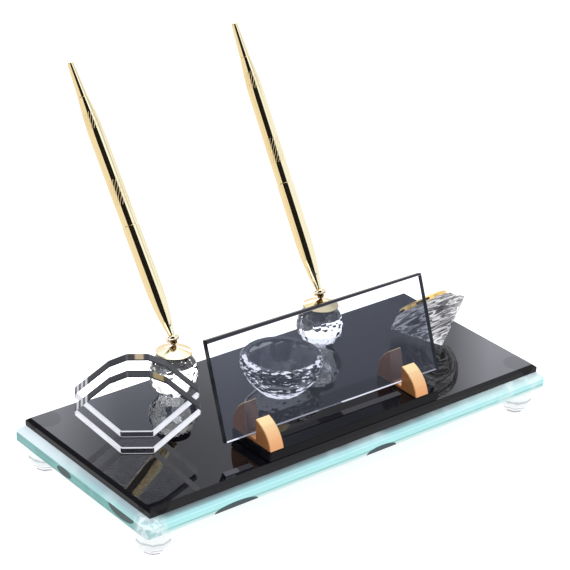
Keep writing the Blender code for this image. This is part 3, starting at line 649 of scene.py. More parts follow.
@dataclass(frozen=True)
class PlinthGlass(Finish):
    """Thick float glass seen through its own edges, its aqua tint painted with light and shade: aqua sides,
    milky bevel, dark ellipses.

    Attributes:
        bottom: height of its underside in metres.
        middle: y of its middle in metres.
        half_depth: half its depth in metres.
        half_length: half its length in metres.
        bevel_start: height in millimetres above the underside where the bevel starts.
        thick: thickness in millimetres.
    """

    bottom: float
    middle: float
    half_depth: float
    half_length: float
    bevel_start: float = 6.0
    thick: float = 10.0

    def spot(self, graph: Graph, axis: Axis, origin: float, place: Span, size: Span) -> Socket:
        """Ellipse on an upright face.

        Args:
            graph: material being built.
            axis: axis along the face.
            origin: where that axis is 0, in metres.
            place: middle of the ellipse, along the face and above the underside, in millimetres.
            size: its two half axes in millimetres.

        Returns:
            1 inside the ellipse, else 0.
        """
        across = graph.over(graph.less(graph.along(axis, origin), place[0]), size[0])
        above = graph.over(graph.less(graph.along(Axis.Z, self.bottom), place[1]), size[1])
        reach = graph.plus(graph.maths("POWER", across, 2.0), graph.maths("POWER", above, 2.0))
        return graph.step(reach, 1.05, 0.95)

    def make(self) -> bpy.types.Material:
        """Makes the material.

        Returns:
            The glass's aqua tint with painted light and shade by face and height, and a faint glow.
        """
        graph = Graph(self.name)
        level = graph.over(graph.along(Axis.Z, self.bottom), self.thick)
        ripple = graph.noise(55.0, 2.0, (1.0, 1.0, 0.15))
        # painted light and shade: the front face is bright aqua at the foot, with a dark line a quarter of the
        # way up
        front = graph.ramp(
            level,
            [
                (0.0, (0.80, 0.94, 0.94)), (0.12, (0.62, 0.84, 0.84)), (0.20, (0.45, 0.72, 0.72)),
                (0.25, (0.22, 0.46, 0.45)), (0.30, (0.45, 0.86, 0.86)), (0.45, (0.49, 0.90, 0.91)),
                (0.58, (0.46, 0.80, 0.83)),
            ],
        )
        front = graph.mix(graph.times(graph.step(ripple, 0.35, 0.7), 0.4), front, (0.42, 0.80, 0.80))
        # painted shade: the end faces are a darker aqua
        side = graph.ramp(
            level,
            [
                (0.0, (0.22, 0.42, 0.42)), (0.06, (0.16, 0.40, 0.39)), (0.30, (0.18, 0.43, 0.42)),
                (0.45, (0.15, 0.37, 0.36)), (0.60, (0.24, 0.47, 0.47)),
            ],
        )
        side = graph.mix(graph.times(graph.step(ripple, 0.40, 0.75), 0.7), side, (0.33, 0.60, 0.58))
        sideways = graph.step(graph.size(graph.facing(RIGHT)), 0.4, 0.7)
        tone = graph.mix(sideways, front, side)
        # painted reflection on the bevel: darker towards the top, lighter towards the right end
        bevel_front = graph.ramp(
            level,
            [
                (0.60, (0.45, 0.80, 0.82)), (0.68, (0.34, 0.62, 0.66)), (0.76, (0.36, 0.62, 0.66)),
                (0.84, (0.21, 0.34, 0.36)), (0.92, (0.16, 0.22, 0.24)), (1.0, (0.12, 0.15, 0.17)),
            ],
        )
        right_end = graph.times(graph.step(graph.along(Axis.X), 40.0, 120.0), 0.55)
        bevel_front = graph.mix(right_end, bevel_front, (0.58, 0.74, 0.76))
        bevel_side = graph.ramp(
            level,
            [
                (0.60, (0.32, 0.56, 0.56)), (0.72, (0.33, 0.52, 0.55)), (0.84, (0.32, 0.44, 0.48)),
                (1.0, (0.36, 0.43, 0.48)),
            ],
        )
        # painted light: the side bevels are lighter towards the rear
        rear_end = graph.step(graph.along(Axis.Y, self.middle), -25.0, 55.0)
        bevel_side = graph.mix(rear_end, bevel_side, (0.66, 0.74, 0.80))
        bevel = graph.mix(sideways, bevel_front, bevel_side)
        # painted light: pale clouds on the bevel
        cloud = graph.step(graph.noise(38.0, 3.0, (1.0, 1.0, 0.4)), 0.45, 0.75)
        bevel = graph.mix(graph.times(cloud, 0.35), bevel, (0.72, 0.82, 0.86))
        upward = graph.step(graph.facing(UP), 0.2, 0.5)
        tone = graph.mix(upward, tone, bevel)
        # painted light: pale patches towards the right end
        patch = graph.step(graph.noise(75.0, 2.0), 0.46, 0.60)
        patch = graph.times(graph.step(graph.along(Axis.X), 70.0, 125.0), patch)
        tone = graph.mix(graph.times(patch, 0.5), tone, (0.74, 0.88, 0.90))
        # painted light: milky white near the front left corner
        corner = (-self.half_length, self.middle - self.half_depth, self.bottom + self.bevel_start * MM)
        near = graph.step(graph.over(graph.distance(corner), MM), 17.0, 9.0)
        corner_light_grain = graph.step(graph.noise(320.0, 3.0), 0.40, 0.62)
        milky = graph.mix(corner_light_grain, (0.42, 0.60, 0.62), (0.84, 0.92, 0.95))
        tone = graph.mix(graph.times(near, 0.7), tone, milky)
        # dark half ellipses low on the front and left faces
        walls = (
            (FRONT, Axis.X, 0.0, (0.055, 0.085, 0.10), ((-92.7, 0.2), (15.5, 3.3)), ((16.6, 0.2), (11.7, 3.2))),
            (
                LEFT, Axis.Y, self.middle, (0.050, 0.085, 0.090),
                ((-42.3, 5.6), (12.4, 4.4)), ((15.2, 3.0), (7.4, 2.6)),
            ),
        )
        for normal, axis, origin, shade, *spots in walls:
            dark = graph.most(*(self.spot(graph, axis, origin, place, size) for place, size in spots))
            wall = graph.step(graph.facing(normal), 0.85, 0.95)
            tone = graph.mix(graph.times(wall, dark), tone, shade)
        # the painted tone also glows faintly
        return graph.principled(
            Base_Color=tone, Roughness=0.05, IOR=1.4, Emission_Color=tone, Emission_Strength=0.16
        )


@dataclass(frozen=True)
class BlackGlass(Finish):
    """Black glass with a mirror polish.

    Attributes:
        shade: colour of the glass.
        ior: refractive index, which sets how bright the mirror image is.
        spots: middles and radii of faint bond spots that show through, in metres.
    """

    shade: Colour = (0.004, 0.004, 0.006)
    ior: float = 1.52
    spots: Tuple[Tuple[float, float, float], ...] = ()

    def make(self) -> bpy.types.Material:
        """Makes the material.

        Returns:
            Dark glossy glass with fine dust, faint wipe marks and bond spots.
        """
        graph = Graph(self.name)
        tone = graph.mix(graph.speck(2600.0, 0.82), self.shade, (0.10, 0.10, 0.11))
        wipe = graph.times(graph.step(graph.noise(14.0, 4.0), 0.45, 0.8), 0.25)
        tone = graph.mix(wipe, tone, (0.014, 0.014, 0.016))
        upward = graph.step(graph.facing(UP), 0.2, 0.8)
        specular: object = graph.line(upward, 0.25, 0.25)
        for x, y, radius in self.spots:
            away = graph.distance((x, y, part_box("smoked_slab")[1].z))
            ring = graph.step(graph.over(away, radius), 1.03, 0.97)
            specular = graph.less(specular, graph.times(ring, 0.14))
        return graph.principled(Base_Color=tone, Roughness=0.0, IOR=self.ior, Specular_IOR_Level=specular)


@dataclass(frozen=True)
class Gold(Finish):
    """Polished plated metal.

    Attributes:
        colour: colour of the plating.
        polish: roughness of the cleanest spots.
    """

    colour: Colour = (0.95, 0.78, 0.42)
    polish: float = 0.05

    def make(self) -> bpy.types.Material:
        """Makes the material.

        Returns:
            Metal with fine wear in its roughness and a slight drift of colour.
        """
        graph = Graph(self.name)
        return graph.metal(graph.drift(60.0, self.colour, 0.95), graph.wear(self.polish - 0.03))


@dataclass(frozen=True)
class PenGold(Finish):
    """Polished pen metal: cream towards the visitor's right, tan towards the left.

    Attributes:
        cream: painted lit colour of the right side.
        tan: colour of the left side, painted darker as shade.
    """

    cream: Colour = (1.0, 0.92, 0.66)
    tan: Colour = (0.95, 0.76, 0.43)

    def make(self) -> bpy.types.Material:
        """Makes the material.

        Returns:
            Metal whose tone follows its normal as painted light, with fine wear and matt strokes.
        """
        graph = Graph(self.name)
        # painted light: the tone follows which way the surface faces
        tone = graph.mix(graph.step(graph.facing(CAMERA_RIGHT), -0.25, 0.35), self.tan, self.cream)
        cut = graph.step(graph.node("Attribute", set_attribute_name=STROKE).outputs["Fac"], 0.10, 0.45)
        tone = graph.mix(graph.times(cut, 0.35), tone, (0.90, 0.66, 0.30))
        return graph.metal(tone, graph.line(cut, 0.48, graph.wear(0.02)))


@dataclass(frozen=True)
class DomeGold(Finish):
    """Polished dome: cream towards the front left corner, tan behind and beside, brown under the brim.

    Attributes:
        brim: height of the brim's widest place in metres.
        light: painted lit colour of the middle.
        tan: colour of the sides, painted darker as shade.
    """

    brim: float
    light: Colour = (1.0, 0.95, 0.73)
    tan: Colour = (0.93, 0.70, 0.41)

    def make(self) -> bpy.types.Material:
        """Makes the material.

        Returns:
            Metal whose tone follows its normal as painted light, with painted shade under the brim.
        """
        graph = Graph(self.name)
        # painted light: lighter where the dome faces the visitor
        tone = graph.mix(graph.step(graph.facing(TO_CAMERA), -0.25, 0.22), self.tan, self.light)
        # painted shade: dark brown under the brim
        tone = graph.mix(graph.step(graph.along(Axis.Z, self.brim), 0.32, 0.14), tone, (0.10, 0.05, 0.015))
        return graph.metal(tone, graph.wear(0.10))


@dataclass(frozen=True)
class Banded(Finish):
    """Turned metal with rings of two tones along an axis.

    Attributes:
        origin: point on the axis where a ring starts, in metres.
        axis: unit vector of the axis.
        stops: places along the axis in millimetres with the colour from there on, in rising order.
        span: first and last place in millimetres.
    """

    origin: Point
    axis: Point
    stops: Tuple[Tuple[float, Colour], ...]
    span: Span

    def make(self) -> bpy.types.Material:
        """Makes the material.

        Returns:
            Metal with soft-edged rings and fine wear.
        """
        graph = Graph(self.name)
        place = graph.over(graph.dot(graph.offset(self.origin), self.axis), MM)
        start, end = self.span
        share = graph.over(graph.less(place, start), end - start)
        tone = graph.ramp(share, [((at - start) / (end - start), colour) for at, colour in self.stops])
        return graph.metal(tone, graph.wear(0.03))


@dataclass(frozen=True)
class Plain(Finish):
    """Matt or satin stuff of one colour with a grain.

    Attributes:
        colour: base colour.
        roughness: mean roughness.
        metallic: 1 for metal.
        grain: noise cells per metre.
        contrast: share by which the grain darkens the colour.
    """

    colour: Colour
    roughness: float = 0.5
    metallic: float = 0.0
    grain: float = 1500.0
    contrast: float = 0.12

    def make(self) -> bpy.types.Material:
        """Makes the material.

        Returns:
            A surface with a fine grain in colour and roughness.
        """
        graph = Graph(self.name)
        grain = graph.noise(self.grain, 4.0)
        dark = tuple(part * (1.0 - self.contrast) for part in self.colour)
        tone = graph.mix(grain, self.colour, dark)
        rough = graph.line(grain, 0.1, self.roughness - 0.05)
        return graph.principled(Base_Color=tone, Roughness=rough, Metallic=self.metallic)


@dataclass(frozen=True)
class StandPaint(Finish):
    """Brushed copper coloured lacquer: light on the round front, brown on the sawn sides.

    Attributes:
        bottom: height of the stands' underside in metres.
        slot: y of the slot's middle in metres.
        round_tone: colour low on the round front, painted darker as shade.
        round_top: colour high on the round front, painted lighter as light.
        side_tone: colour of the flat sides, their own brown painted darker as shade.
        slot_tone: colour of the slot's rear wall, painted dark as shade.
    """

    bottom: float
    slot: float
    round_tone: Colour = (0.90, 0.44, 0.20)
    round_top: Colour = (0.98, 0.74, 0.42)
    side_tone: Colour = (0.42, 0.17, 0.06)
    slot_tone: Colour = (0.16, 0.085, 0.055)

    def make(self) -> bpy.types.Material:
        """Makes the material.

        Returns:
            Satin lacquer with a fine brushed grain, and painted light and shade by height and face.
        """
        graph = Graph(self.name)
        # painted light and shade: the round front is lighter high up
        rise = graph.step(graph.along(Axis.Z, self.bottom), 2.0, 17.0)
        tone = graph.mix(rise, self.round_tone, self.round_top)
        # painted shade on the flat sides
        side = graph.step(graph.size(graph.facing(RIGHT)), 0.6, 0.8)
        tone = graph.mix(side, tone, self.side_tone)
        # painted shade on the slot's rear wall
        behind = graph.step(graph.along(Axis.Y, self.slot), -0.5, 0.5)
        wall = graph.times(behind, graph.facing(FRONT))
        tone = graph.mix(graph.step(wall, 0.3, 0.5), tone, self.slot_tone)
        grain = graph.noise(700.0, 4.0, (4.0, 1.0, 1.0))
        tone = graph.mix(graph.times(grain, 0.22), tone, (0.45, 0.22, 0.09))
        rough = graph.line(grain, 0.15, 0.25)
        return graph.principled(Base_Color=tone, Roughness=rough, Metallic=0.35, IOR=1.45)


@dataclass(frozen=True)
class DialPrint(Finish):
    """Off-white dial with plain hour and minute strokes.

    Attributes:
        centre: middle of the dial in metres.
        twelve: unit vector from the middle to the twelve.
        three: unit vector from the middle to the three.
        reach: outer radius of the strokes in metres.
    """

    centre: Point
    twelve: Point
    three: Point
    reach: float = 0.0106

    def make(self) -> bpy.types.Material:
        """Makes the material.

        Returns:
            Matt print by the angle and distance from the dial's middle.
        """
        graph = Graph(self.name)
        parts = [graph.dot(graph.offset(self.centre), direction) for direction in (self.three, self.twelve)]
        angle = graph.maths("ARCTAN2", parts[0], parts[1])
        away = graph.reach(*parts)
        ink = None
        for count, inner, wide in ((60, 0.93, 0.00012), (12, 0.80, 0.00028)):
            turn = graph.times(angle, count / (2.0 * np.pi))
            near = graph.size(graph.less(turn, graph.maths("ROUND", turn)))
            width = graph.times(near, graph.times(away, 2.0 * np.pi / count))
            stroke = graph.maths("LESS_THAN", width, wide)
            band = graph.window(away, self.reach * inner, self.reach, 0.00003)
            mark = graph.times(stroke, band)
            ink = mark if ink is None else graph.most(ink, mark)
        paper = graph.mix(graph.noise(2500.0, 3.0), (0.88, 0.87, 0.83), (0.82, 0.81, 0.77))
        tone = graph.mix(ink, paper, (0.03, 0.03, 0.035))
        return graph.principled(Base_Color=tone, Roughness=0.45)


CRYSTAL = Crystal("cut_crystal")
PEN_METAL = PenGold("pen_metal")
STUD_METAL = Gold("stud_metal", colour=(0.22, 0.13, 0.05), polish=0.12)
CLOCK_GOLD = Gold("clock_gold", colour=(0.96, 0.66, 0.24), polish=0.16)
BRASS = Plain("turned_brass", (0.78, 0.60, 0.30), 0.3, 1.0)
RING = Plain("soft_ring", (0.82, 0.82, 0.80), 0.5)
MOULDED = Plain("moulded_black", (0.05, 0.05, 0.055), 0.5)
STEEL = Plain("cell_steel", (0.7, 0.71, 0.72), 0.25, 1.0)
LACQUER = Plain("black_lacquer", (0.02, 0.02, 0.022), 0.3)


class Surface:
    """Closed surfaces computed from arrays and placed in the shared frame."""

    @staticmethod
    def shell(name: str, points: np.ndarray, faces: List[Sequence[int]], smooth: float) -> bpy.types.Object:
        """Makes a mesh object with its normals outward.

        The volume is the sum over all fan triangles of a . (b x c) / 6. Below zero, every face is turned.

        Args:
            name: name of the object.
            points: vertex positions, one row each, in metres.
            faces: vertex indices of each face.
            smooth: angle in degrees above which an edge stays sharp.

        Returns:
            The new object, at the origin.
        """
        fans = np.array([(f[0], f[k], f[k + 1]) for f in faces for k in range(1, len(f) - 1)])
        a, b, c = points[fans[:, 0]], points[fans[:, 1]], points[fans[:, 2]]
        if np.einsum("ij,ij->i", a - points[0], np.cross(b - points[0], c - points[0])).sum() < 0:
            faces = [list(reversed(f)) for f in faces]
        data = bpy.data.meshes.new(name)
        data.from_pydata(points.tolist(), [], [list(map(int, f)) for f in faces])
        data.shade_smooth()
        data.set_sharp_from_angle(angle=radians(smooth))
        return put(name, data)

    @staticmethod
    def turned(
        name: str, outline: np.ndarray, sides: int, place: Matrix, smooth: float = 30.0,
        relief: Union[np.ndarray, float] = 0.0,
    ) -> bpy.types.Object:
        """Surface of revolution.

        Point (i, j) is (r cos t, r sin t, h), with r and h from row i of the outline and t = 2 pi j / sides.
        An outline that starts and ends on the axis closes at its poles; any other outline closes on itself.

        Args:
            name: name of the object.
            outline: radius and height of each ring, in metres.
            sides: points round each ring.
            place: where the piece stands in the shared frame.
            smooth: angle in degrees above which an edge stays sharp.
            relief: change of the radius at each ring and side, in metres.

        Returns:
            The new object.
        """
        turn = 2.0 * np.pi * np.arange(sides) / sides
        radius = np.repeat(outline[:, :1], sides, axis=1) + relief
        height = np.repeat(outline[:, 1:], sides, axis=1)
        grid = np.stack((radius * np.cos(turn), radius * np.sin(turn), height), -1)
        rings = len(outline)
        closed = outline[0, 0] != 0.0
        index = np.arange(rings * sides).reshape(rings, sides)
        low, high = (index, np.roll(index, -1, axis=0)) if closed else (index[:-1], index[1:])
        quads = np.stack((low, np.roll(low, -1, axis=1), np.roll(high, -1, axis=1), high), -1).reshape(-1, 4)
        points = grid.reshape(-1, 3)
        if not closed:
            first, last = index[0], index[-1]
            quads[np.isin(quads, first)] = first[0]
            quads[np.isin(quads, last)] = last[0]
        faces = [list(dict.fromkeys(quad.tolist())) for quad in quads]
        used = np.unique(np.concatenate([np.array(f) for f in faces]))
        slot = np.zeros(len(points), int)
        slot[used] = np.arange(len(used))
        world = np.array(place)
        points = points[used] @ world[:3, :3].T + world[:3, 3]
        return Surface.shell(name, points, [slot[np.array(f)].tolist() for f in faces], smooth)

    @staticmethod
    def cut(name: str, planes: np.ndarray, place: Matrix, reach: float) -> bpy.types.Object:
        """Convex gem: the part of a cube that lies behind every plane.

        Args:
            name: name of the object.
            planes: one row each: unit normal and distance from the local origin, in metres.
            place: where the gem stands in the shared frame.
            reach: half side of the starting cube in metres.

        Returns:
            The new object.
        """
        shape = bmesh.new()
        bmesh.ops.create_cube(shape, size=2.0 * reach)
        for x, y, z, away in planes:
            normal = Vector((x, y, z))
            everything = shape.verts[:] + shape.edges[:] + shape.faces[:]
            bmesh.ops.bisect_plane(
                shape, geom=everything, dist=1e-7, plane_co=normal * away, plane_no=normal, clear_outer=True
            )
            rim = [edge for edge in shape.edges if edge.is_boundary]
            if rim:
                bmesh.ops.contextual_create(shape, geom=rim)
        bmesh.ops.remove_doubles(shape, verts=shape.verts, dist=1e-7)
        bmesh.ops.recalc_face_normals(shape, faces=shape.faces)
        shape.transform(place)
        data = bpy.data.meshes.new(name)
        shape.to_mesh(data)
        shape.free()
        return put(name, data)


class SubAssembly:
    """Shared manner of the sub-assemblies: build the detailed pieces, dress the carried ones."""

    finishes: Dict[str, bpy.types.Material] = {}

    def build(self) -> None:
        """Builds nothing: the CAD nodes have the right shapes unless a sub-assembly says otherwise."""

    def dress(self) -> None:
        """Dresses nothing: every piece gets its finish as it is built."""

    def paint(self, piece: bpy.types.Object, finish: Finish) -> None:
        """Gives a piece one finish, made once.

        Args:
            piece: object to dress.
            finish: its look.
        """
        if finish.name not in self.finishes:
            self.finishes[finish.name] = finish.make()
        piece.data.materials.clear()
        piece.data.materials.append(self.finishes[finish.name])

    def carry(self, name: str, finish: Finish) -> None:
        """Keeps a CAD node and dresses it."""
        self.paint(frame["nodes"][name], finish)
        log.info("dressed %s", name)

    def stand_for(self, piece: bpy.types.Object, node: str, finish: Finish) -> None:
        """Puts a detailed piece in the place of one CAD node, on the same body.

        Args:
            piece: the detailed piece.
            node: the node that it stands for.
            finish: its look.
        """
        self.paint(piece, finish)
        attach(piece, frame["nodes"][node]["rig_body"])
        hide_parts(node)
        log.info("built %s for %s", piece.name, node)

    def joint(self, name: str) -> Dict[str, object]:
        """Finds a joint of the record."""
        return next(item for item in frame["joints"] if item["name"] == name)

    def place(self, point: Sequence[float], axis: Sequence[float]) -> Matrix:
        """Frame whose z runs along an axis."""
        turn = Vector(axis).normalized().to_track_quat("Z", "Y").to_matrix().to_4x4()
        return Matrix.Translation(point) @ turn


@dataclass
class Base(SubAssembly):
    """Plinth, slab and feet.

    Attributes:
        spot_radius: radius of the bond spots that show through the slab.
    """

    spot_radius: float = 0.0095

    def dress(self) -> None:
        """Dresses plinth, slab and feet."""
        low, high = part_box("glass_plinth")
        middle = (low.y + high.y) / 2
        half_depth, half_length = (high.y - low.y) / 2, (high.x - low.x) / 2
        self.carry("glass_plinth", PlinthGlass("plinth_glass", low.z, middle, half_depth, half_length))
        spots = []
        for end in ("front_left", "front_right", "rear_left", "rear_right"):
            name = "ball_foot_" + end
            spots.append((*plan_middle(name), self.spot_radius))
            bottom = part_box(name)[0].z
            self.carry(name, FootCrystal("foot_crystal", tint=(0.80, 0.83, 0.84), bottom=bottom))
        self.carry("smoked_slab", BlackGlass("slab_glass", spots=tuple(spots)))


@dataclass
class CardHolder(SubAssembly):
    """Two clear upright plates.

    Attributes:
        turn: turn of the plates in plan, in degrees.
        tip: height of their widest place above their foot in metres.
    """

    turn: float = -34.0
    tip: float = 0.0275

    def dress(self) -> None:
        """Dresses the two plates."""
        turn = radians(self.turn)
        face, along = (-sin(turn), cos(turn), 0.0), (cos(turn), sin(turn), 0.0)
        # painted light of the edges: black facing straight down, white on the lower slants, then grey, then
        # dark on the upper edges
        bands = (
            (-1.0, (0.002, 0.002, 0.003)),
            (-0.9, (0.82, 0.83, 0.90)),
            (-0.05, (0.42, 0.43, 0.47)),
            (0.3, (0.030, 0.033, 0.040)),
            (0.95, (0.040, 0.044, 0.050)),
        )
        # painted reflections: warm and pale glints on the upper edges, and light patches near the left tips
        warm, pale = (0.30, 0.22, 0.09), (0.50, 0.40, 0.28)
        tips = tuple(Glint((at, at + 1.1), (0.5, 0.8), (0.72, 0.74, 0.80)) for at in (-34.8, -32.4, -30.0))
        glints = {
            "card_plate_front": (Glint((8.5, 14.5), (0.7, 0.95), warm),) + tips,
            "card_plate_rear": (Glint((-1.5, 3.5), (0.9, 1.1), pale),) + tips,
        }
        for name, patches in glints.items():
            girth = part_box(name)[0].z + self.tip
            self.carry(name, EdgedGlass(name + "_glass", face, along, middle_of(name), girth, bands, patches))


@dataclass
class Bowl(SubAssembly):
    """Cut crystal bowl with a finely cut rim.

    Attributes:
        rows: lower radius and height, upper radius and height, number and turn of each row's facets.
        mouth: inner radius at the rim.
        floor: height of the inside's lowest point.
        sides: points round the bowl.
    """

    rows: Tuple[Tuple[float, float, float, float, int, float], ...] = (
        (0.0125, 0.0000, 0.0205, 0.0085, 12, 0.0),
        (0.0205, 0.0085, 0.0258, 0.0200, 12, 0.5),
        (0.0258, 0.0200, 0.0256, 0.0222, 24, 0.0),
        (0.0256, 0.0222, 0.0240, 0.0240, 24, 0.5),
    )
    mouth: float = 0.0210
    floor: float = 0.0060
    sides: int = 288

    def reach(self, height: np.ndarray, turn: np.ndarray) -> np.ndarray:
        """Outer radius: at each height and turn the nearest of all facet planes.

        A facet plane through (low r, low h) and (high r, high h) at the turn of its middle lies at
        (low r + (h - low h) * slope) / cos(turn - middle).

        Args:
            height: heights in metres.
            turn: turns in radians.

        Returns:
            One radius for each height and turn.
        """
        best = np.full((len(height), len(turn)), np.inf)
        for low_r, low_h, high_r, high_h, count, shift in self.rows:
            slope = (high_r - low_r) / (high_h - low_h)
            straight = low_r + (height[:, None] - low_h) * slope
            away = (turn[None, :] * count / (2 * np.pi) - shift + 0.5) % 1.0 - 0.5
            best = np.minimum(best, straight / np.cos(away * 2 * np.pi / count))
        return best

    def build(self) -> None:
        """Builds the bowl as one turned surface whose outer rings follow the facets."""
        low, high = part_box("clip_bowl")
        tall = high.z - low.z
        turn = 2.0 * np.pi * np.arange(self.sides) / self.sides
        height = np.unique(np.concatenate((np.linspace(0.0, tall, 121), [row[1] for row in self.rows])))
        outer = self.reach(height, turn)
        t = np.linspace(0.0, 1.0, 41)
        depth = self.floor + (tall - self.floor) * (0.62 * t ** 2.2 + 0.38 * t ** 9)
        inner = np.stack((self.mouth * t, depth), -1)
        outline = np.concatenate((np.zeros((1, 2)), np.stack((outer.min(axis=1), height), -1), inner[::-1]))
        relief = np.zeros((len(outline), self.sides))
        relief[1:1 + len(height)] = outer - outer.min(axis=1)[:, None]
        outline[-1, 0] = 0.0
        centre = plan_middle("clip_bowl")
        place = Matrix.Translation((*centre, low.z))
        piece = Surface.turned("cut_bowl", outline, self.sides, place, 12.0, relief)
        finish = BowlCrystal("bowl_crystal", tint=(0.88, 0.89, 0.92), bottom=low.z, centre=centre)
        self.stand_for(piece, "clip_bowl", finish)


@dataclass
class NamePlate(SubAssembly):
    """Bar, two slotted stands and the leaning plate.

    Attributes:
        half_height: half the plate's height in millimetres.
        slot: distance of the slot's middle from the stands' front in metres.
    """

    half_height: float = 30.6
    slot: float = 0.0185

    def dress(self) -> None:
        """Dresses bar, stands and plate."""
        self.carry("stand_bar", BlackGlass("bar_glass", ior=1.33))
        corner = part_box("plate_stand_left")[0]
        paint = StandPaint("stand_paint", corner.z, corner.y + self.slot)
        self.carry("plate_stand_left", paint)
        self.carry("plate_stand_right", paint)
        lift = Vector(self.joint("plate_lift")["axis"])
        face = lift.cross(Vector(RIGHT)).normalized()
        # painted light of the edges: grey facing down, then near black
        bands = (
            (-1.0, (0.42, 0.42, 0.48)),
            (-0.7, (0.003, 0.004, 0.007)),
            (0.7, (0.022, 0.022, 0.026)),
        )
        # painted glints of light along the bottom edge, with a darker stretch in the middle
        glints = (
            Glint((-85.0, -71.0), (-1.1, -0.7), (1.2, 1.2, 1.4)),
            Glint((-12.0, 6.0), (-1.1, -0.7), (0.16, 0.16, 0.18)),
            Glint((6.0, 58.0), (-1.1, -0.7), (1.0, 1.0, 1.1)),
        )
        middle = middle_of("name_plate")
        # the hem paints a reflection of the top edge on the faces, and the veil a faint glow
        self.carry("name_plate", EdgedGlass(
            "name_glass", tuple(face), RIGHT, middle, middle[2], bands, glints, (0.51, 0.53, 0.595),
            (self.half_height - 1.8, self.half_height + 1.0), (0.017, 0.019, 0.025),
        ))


@dataclass
class PenUnit(SubAssembly):
    """Crystal ball, dome, swivel socket and twist pen of one side.

    Attributes:
        side: left or right.
        rows: latitude in degrees and number of facets of each row on the ball.
        barrel_radius: radius of the lower barrel.
        top_radius: radius of the upper barrel.
        nose_radius: radius of the lower barrel at the socket's rim.
        end_radius: radius of the end cap's rim.
        groove: depth of the engraved strokes.
        pitch: distance between two strokes along the pen.
        slant: rise of a stroke along the pen for each step round it.
        bands: stretches of the upper barrel with strokes, from the socket's rim.
        sides: points round the pen.
        stroke_sides: points round the barrel with the strokes.
        stroke_width: half width of a stroke as a share of the pitch.
        dome_light: colour of the dome's lit side.
        ball_share: distance of the ball's facets from its middle as a share of its half width.
        ball_rise: height of the ball's middle above its foot.
        dome_share: radius of the dome as a share of its half width in the CAD.
        dome_sides: points round the dome.
        brim: radius of the dome's rounded brim.
        boss: radius of the dome's flat top.
        socket_sides: points round the socket.
        housing: inner and outer radius of the socket's ball housing.
        closing: angle in degrees down to which the housing holds the ball.
        flare: how much wider the socket's neck is at its top.
        collar: radius and height of the middle of the collar's roll, half its width and half its height.
        mouth: outline of the socket's dished mouth, as radius and height of each ring.
        nose_length: length of the lower barrel's cone.
        barrel_bore: outline of the lower barrel's inside.
        top_bore: outline of the upper barrel's inside.
        rings: stretches of the upper barrel with their number of rings.
        swell: start and length of the upper barrel's stretch that widens.
        tail: start and length of its stretch that tapers.
        fade: length over which the strokes end.
        tip: radius and height of the foot of the end cap's rounded tip, and the tip's height.
    """

    side: str
    rows: Tuple[Tuple[float, int], ...] = ((0.0, 17), (19.0, 17), (38.0, 15), (56.0, 11))
    barrel_radius: float = 0.0054
    top_radius: float = 0.00515
    nose_radius: float = 0.0017
    end_radius: float = 0.0034
    groove: float = 0.00004
    pitch: float = 0.0033
    slant: float = 1.6
    bands: Tuple[Span, ...] = ((0.084, 0.1005), (0.133, 0.1445))
    sides: int = 72
    stroke_sides: int = 240
    stroke_width: float = 0.22
    dome_light: Colour = (1.0, 0.95, 0.73)
    ball_share: float = 0.985
    ball_rise: float = 0.0141
    dome_share: float = 0.998
    dome_sides: int = 96
    brim: float = 0.00045
    boss: float = 0.0016
    socket_sides: int = 64
    housing: Span = (0.0016, 0.0021)
    closing: float = 112.0
    flare: float = 0.0010
    collar: Tuple[float, float, float, float] = (0.0034, 0.00275, 0.0008, 0.0015)
    mouth: Tuple[Span, ...] = (
        (0.0031, 0.00425), (0.0025, 0.0034), (0.0015, 0.0027), (0.0011, 0.0025), (0.0011, 0.0021),
        (0.0, 0.0021),
    )
    nose_length: float = 0.036
    barrel_bore: Tuple[Span, ...] = (
        (0.0037, 0.0707), (0.0037, 0.0577), (0.0016, 0.0577), (0.0016, 0.0063), (0.0008, 0.0060),
        (0.0008, -0.0014),
    )
    swell: Span = (0.0710, 0.009)
    tail: Span = (0.128, 0.0257)
    fade: float = 0.0006
    tip: Point = (0.0021, 0.17585, 0.00105)
    top_bore: Tuple[Span, ...] = ((0.0019, 0.1537), (0.0019, 0.148), (0.00345, 0.128), (0.00345, 0.071))
    rings: Tuple[Tuple[float, float, int], ...] = (
        (0.0710, 0.0800, 6), (0.0825, 0.1020, 79), (0.1020, 0.1315, 10), (0.1315, 0.1460, 59),
        (0.1475, 0.1537, 5),
    )

    def build(self) -> None:
        """Builds the ball, dome, socket and the pen's three outer pieces."""
        self.ball()
        self.dome()
        self.socket()
        self.barrel()
        self.top()
        self.end()

    def dress(self) -> None:
        """Dresses the carried inner pieces."""
        self.carry("swivel_stud_" + self.side, STUD_METAL)
        self.carry("twist_sleeve_" + self.side, BRASS)
        self.carry("pen_refill_" + self.side, BRASS)

    def ball(self) -> None:
        """Cuts the ball: each facet plane touches a sphere at its latitude and longitude."""
        node = "crystal_ball_" + self.side
        low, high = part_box(node)
        radius = (high.x - low.x) / 2 * self.ball_share
        middle = Vector((*plan_middle(node), low.z + self.ball_rise))
        planes = [(0.0, 0.0, 1.0, high.z - middle.z), (0.0, 0.0, -1.0, middle.z - low.z)]
        for row, (latitude, count) in enumerate(self.rows):
            for tilt in (latitude,) if latitude == 0.0 else (latitude, -latitude):
                turn = 2.0 * np.pi * (np.arange(count) + 0.5 * (row % 2)) / count
                up = np.full(count, np.sin(np.radians(tilt)))
                flat = np.cos(np.radians(tilt))
                rows = np.stack((flat * np.cos(turn), flat * np.sin(turn), up, np.full(count, radius)), -1)
                planes.extend(map(tuple, rows))
        piece = Surface.cut("cut_ball_" + self.side, np.array(planes), Matrix.Translation(middle), 2 * radius)
        self.stand_for(piece, node, CRYSTAL)

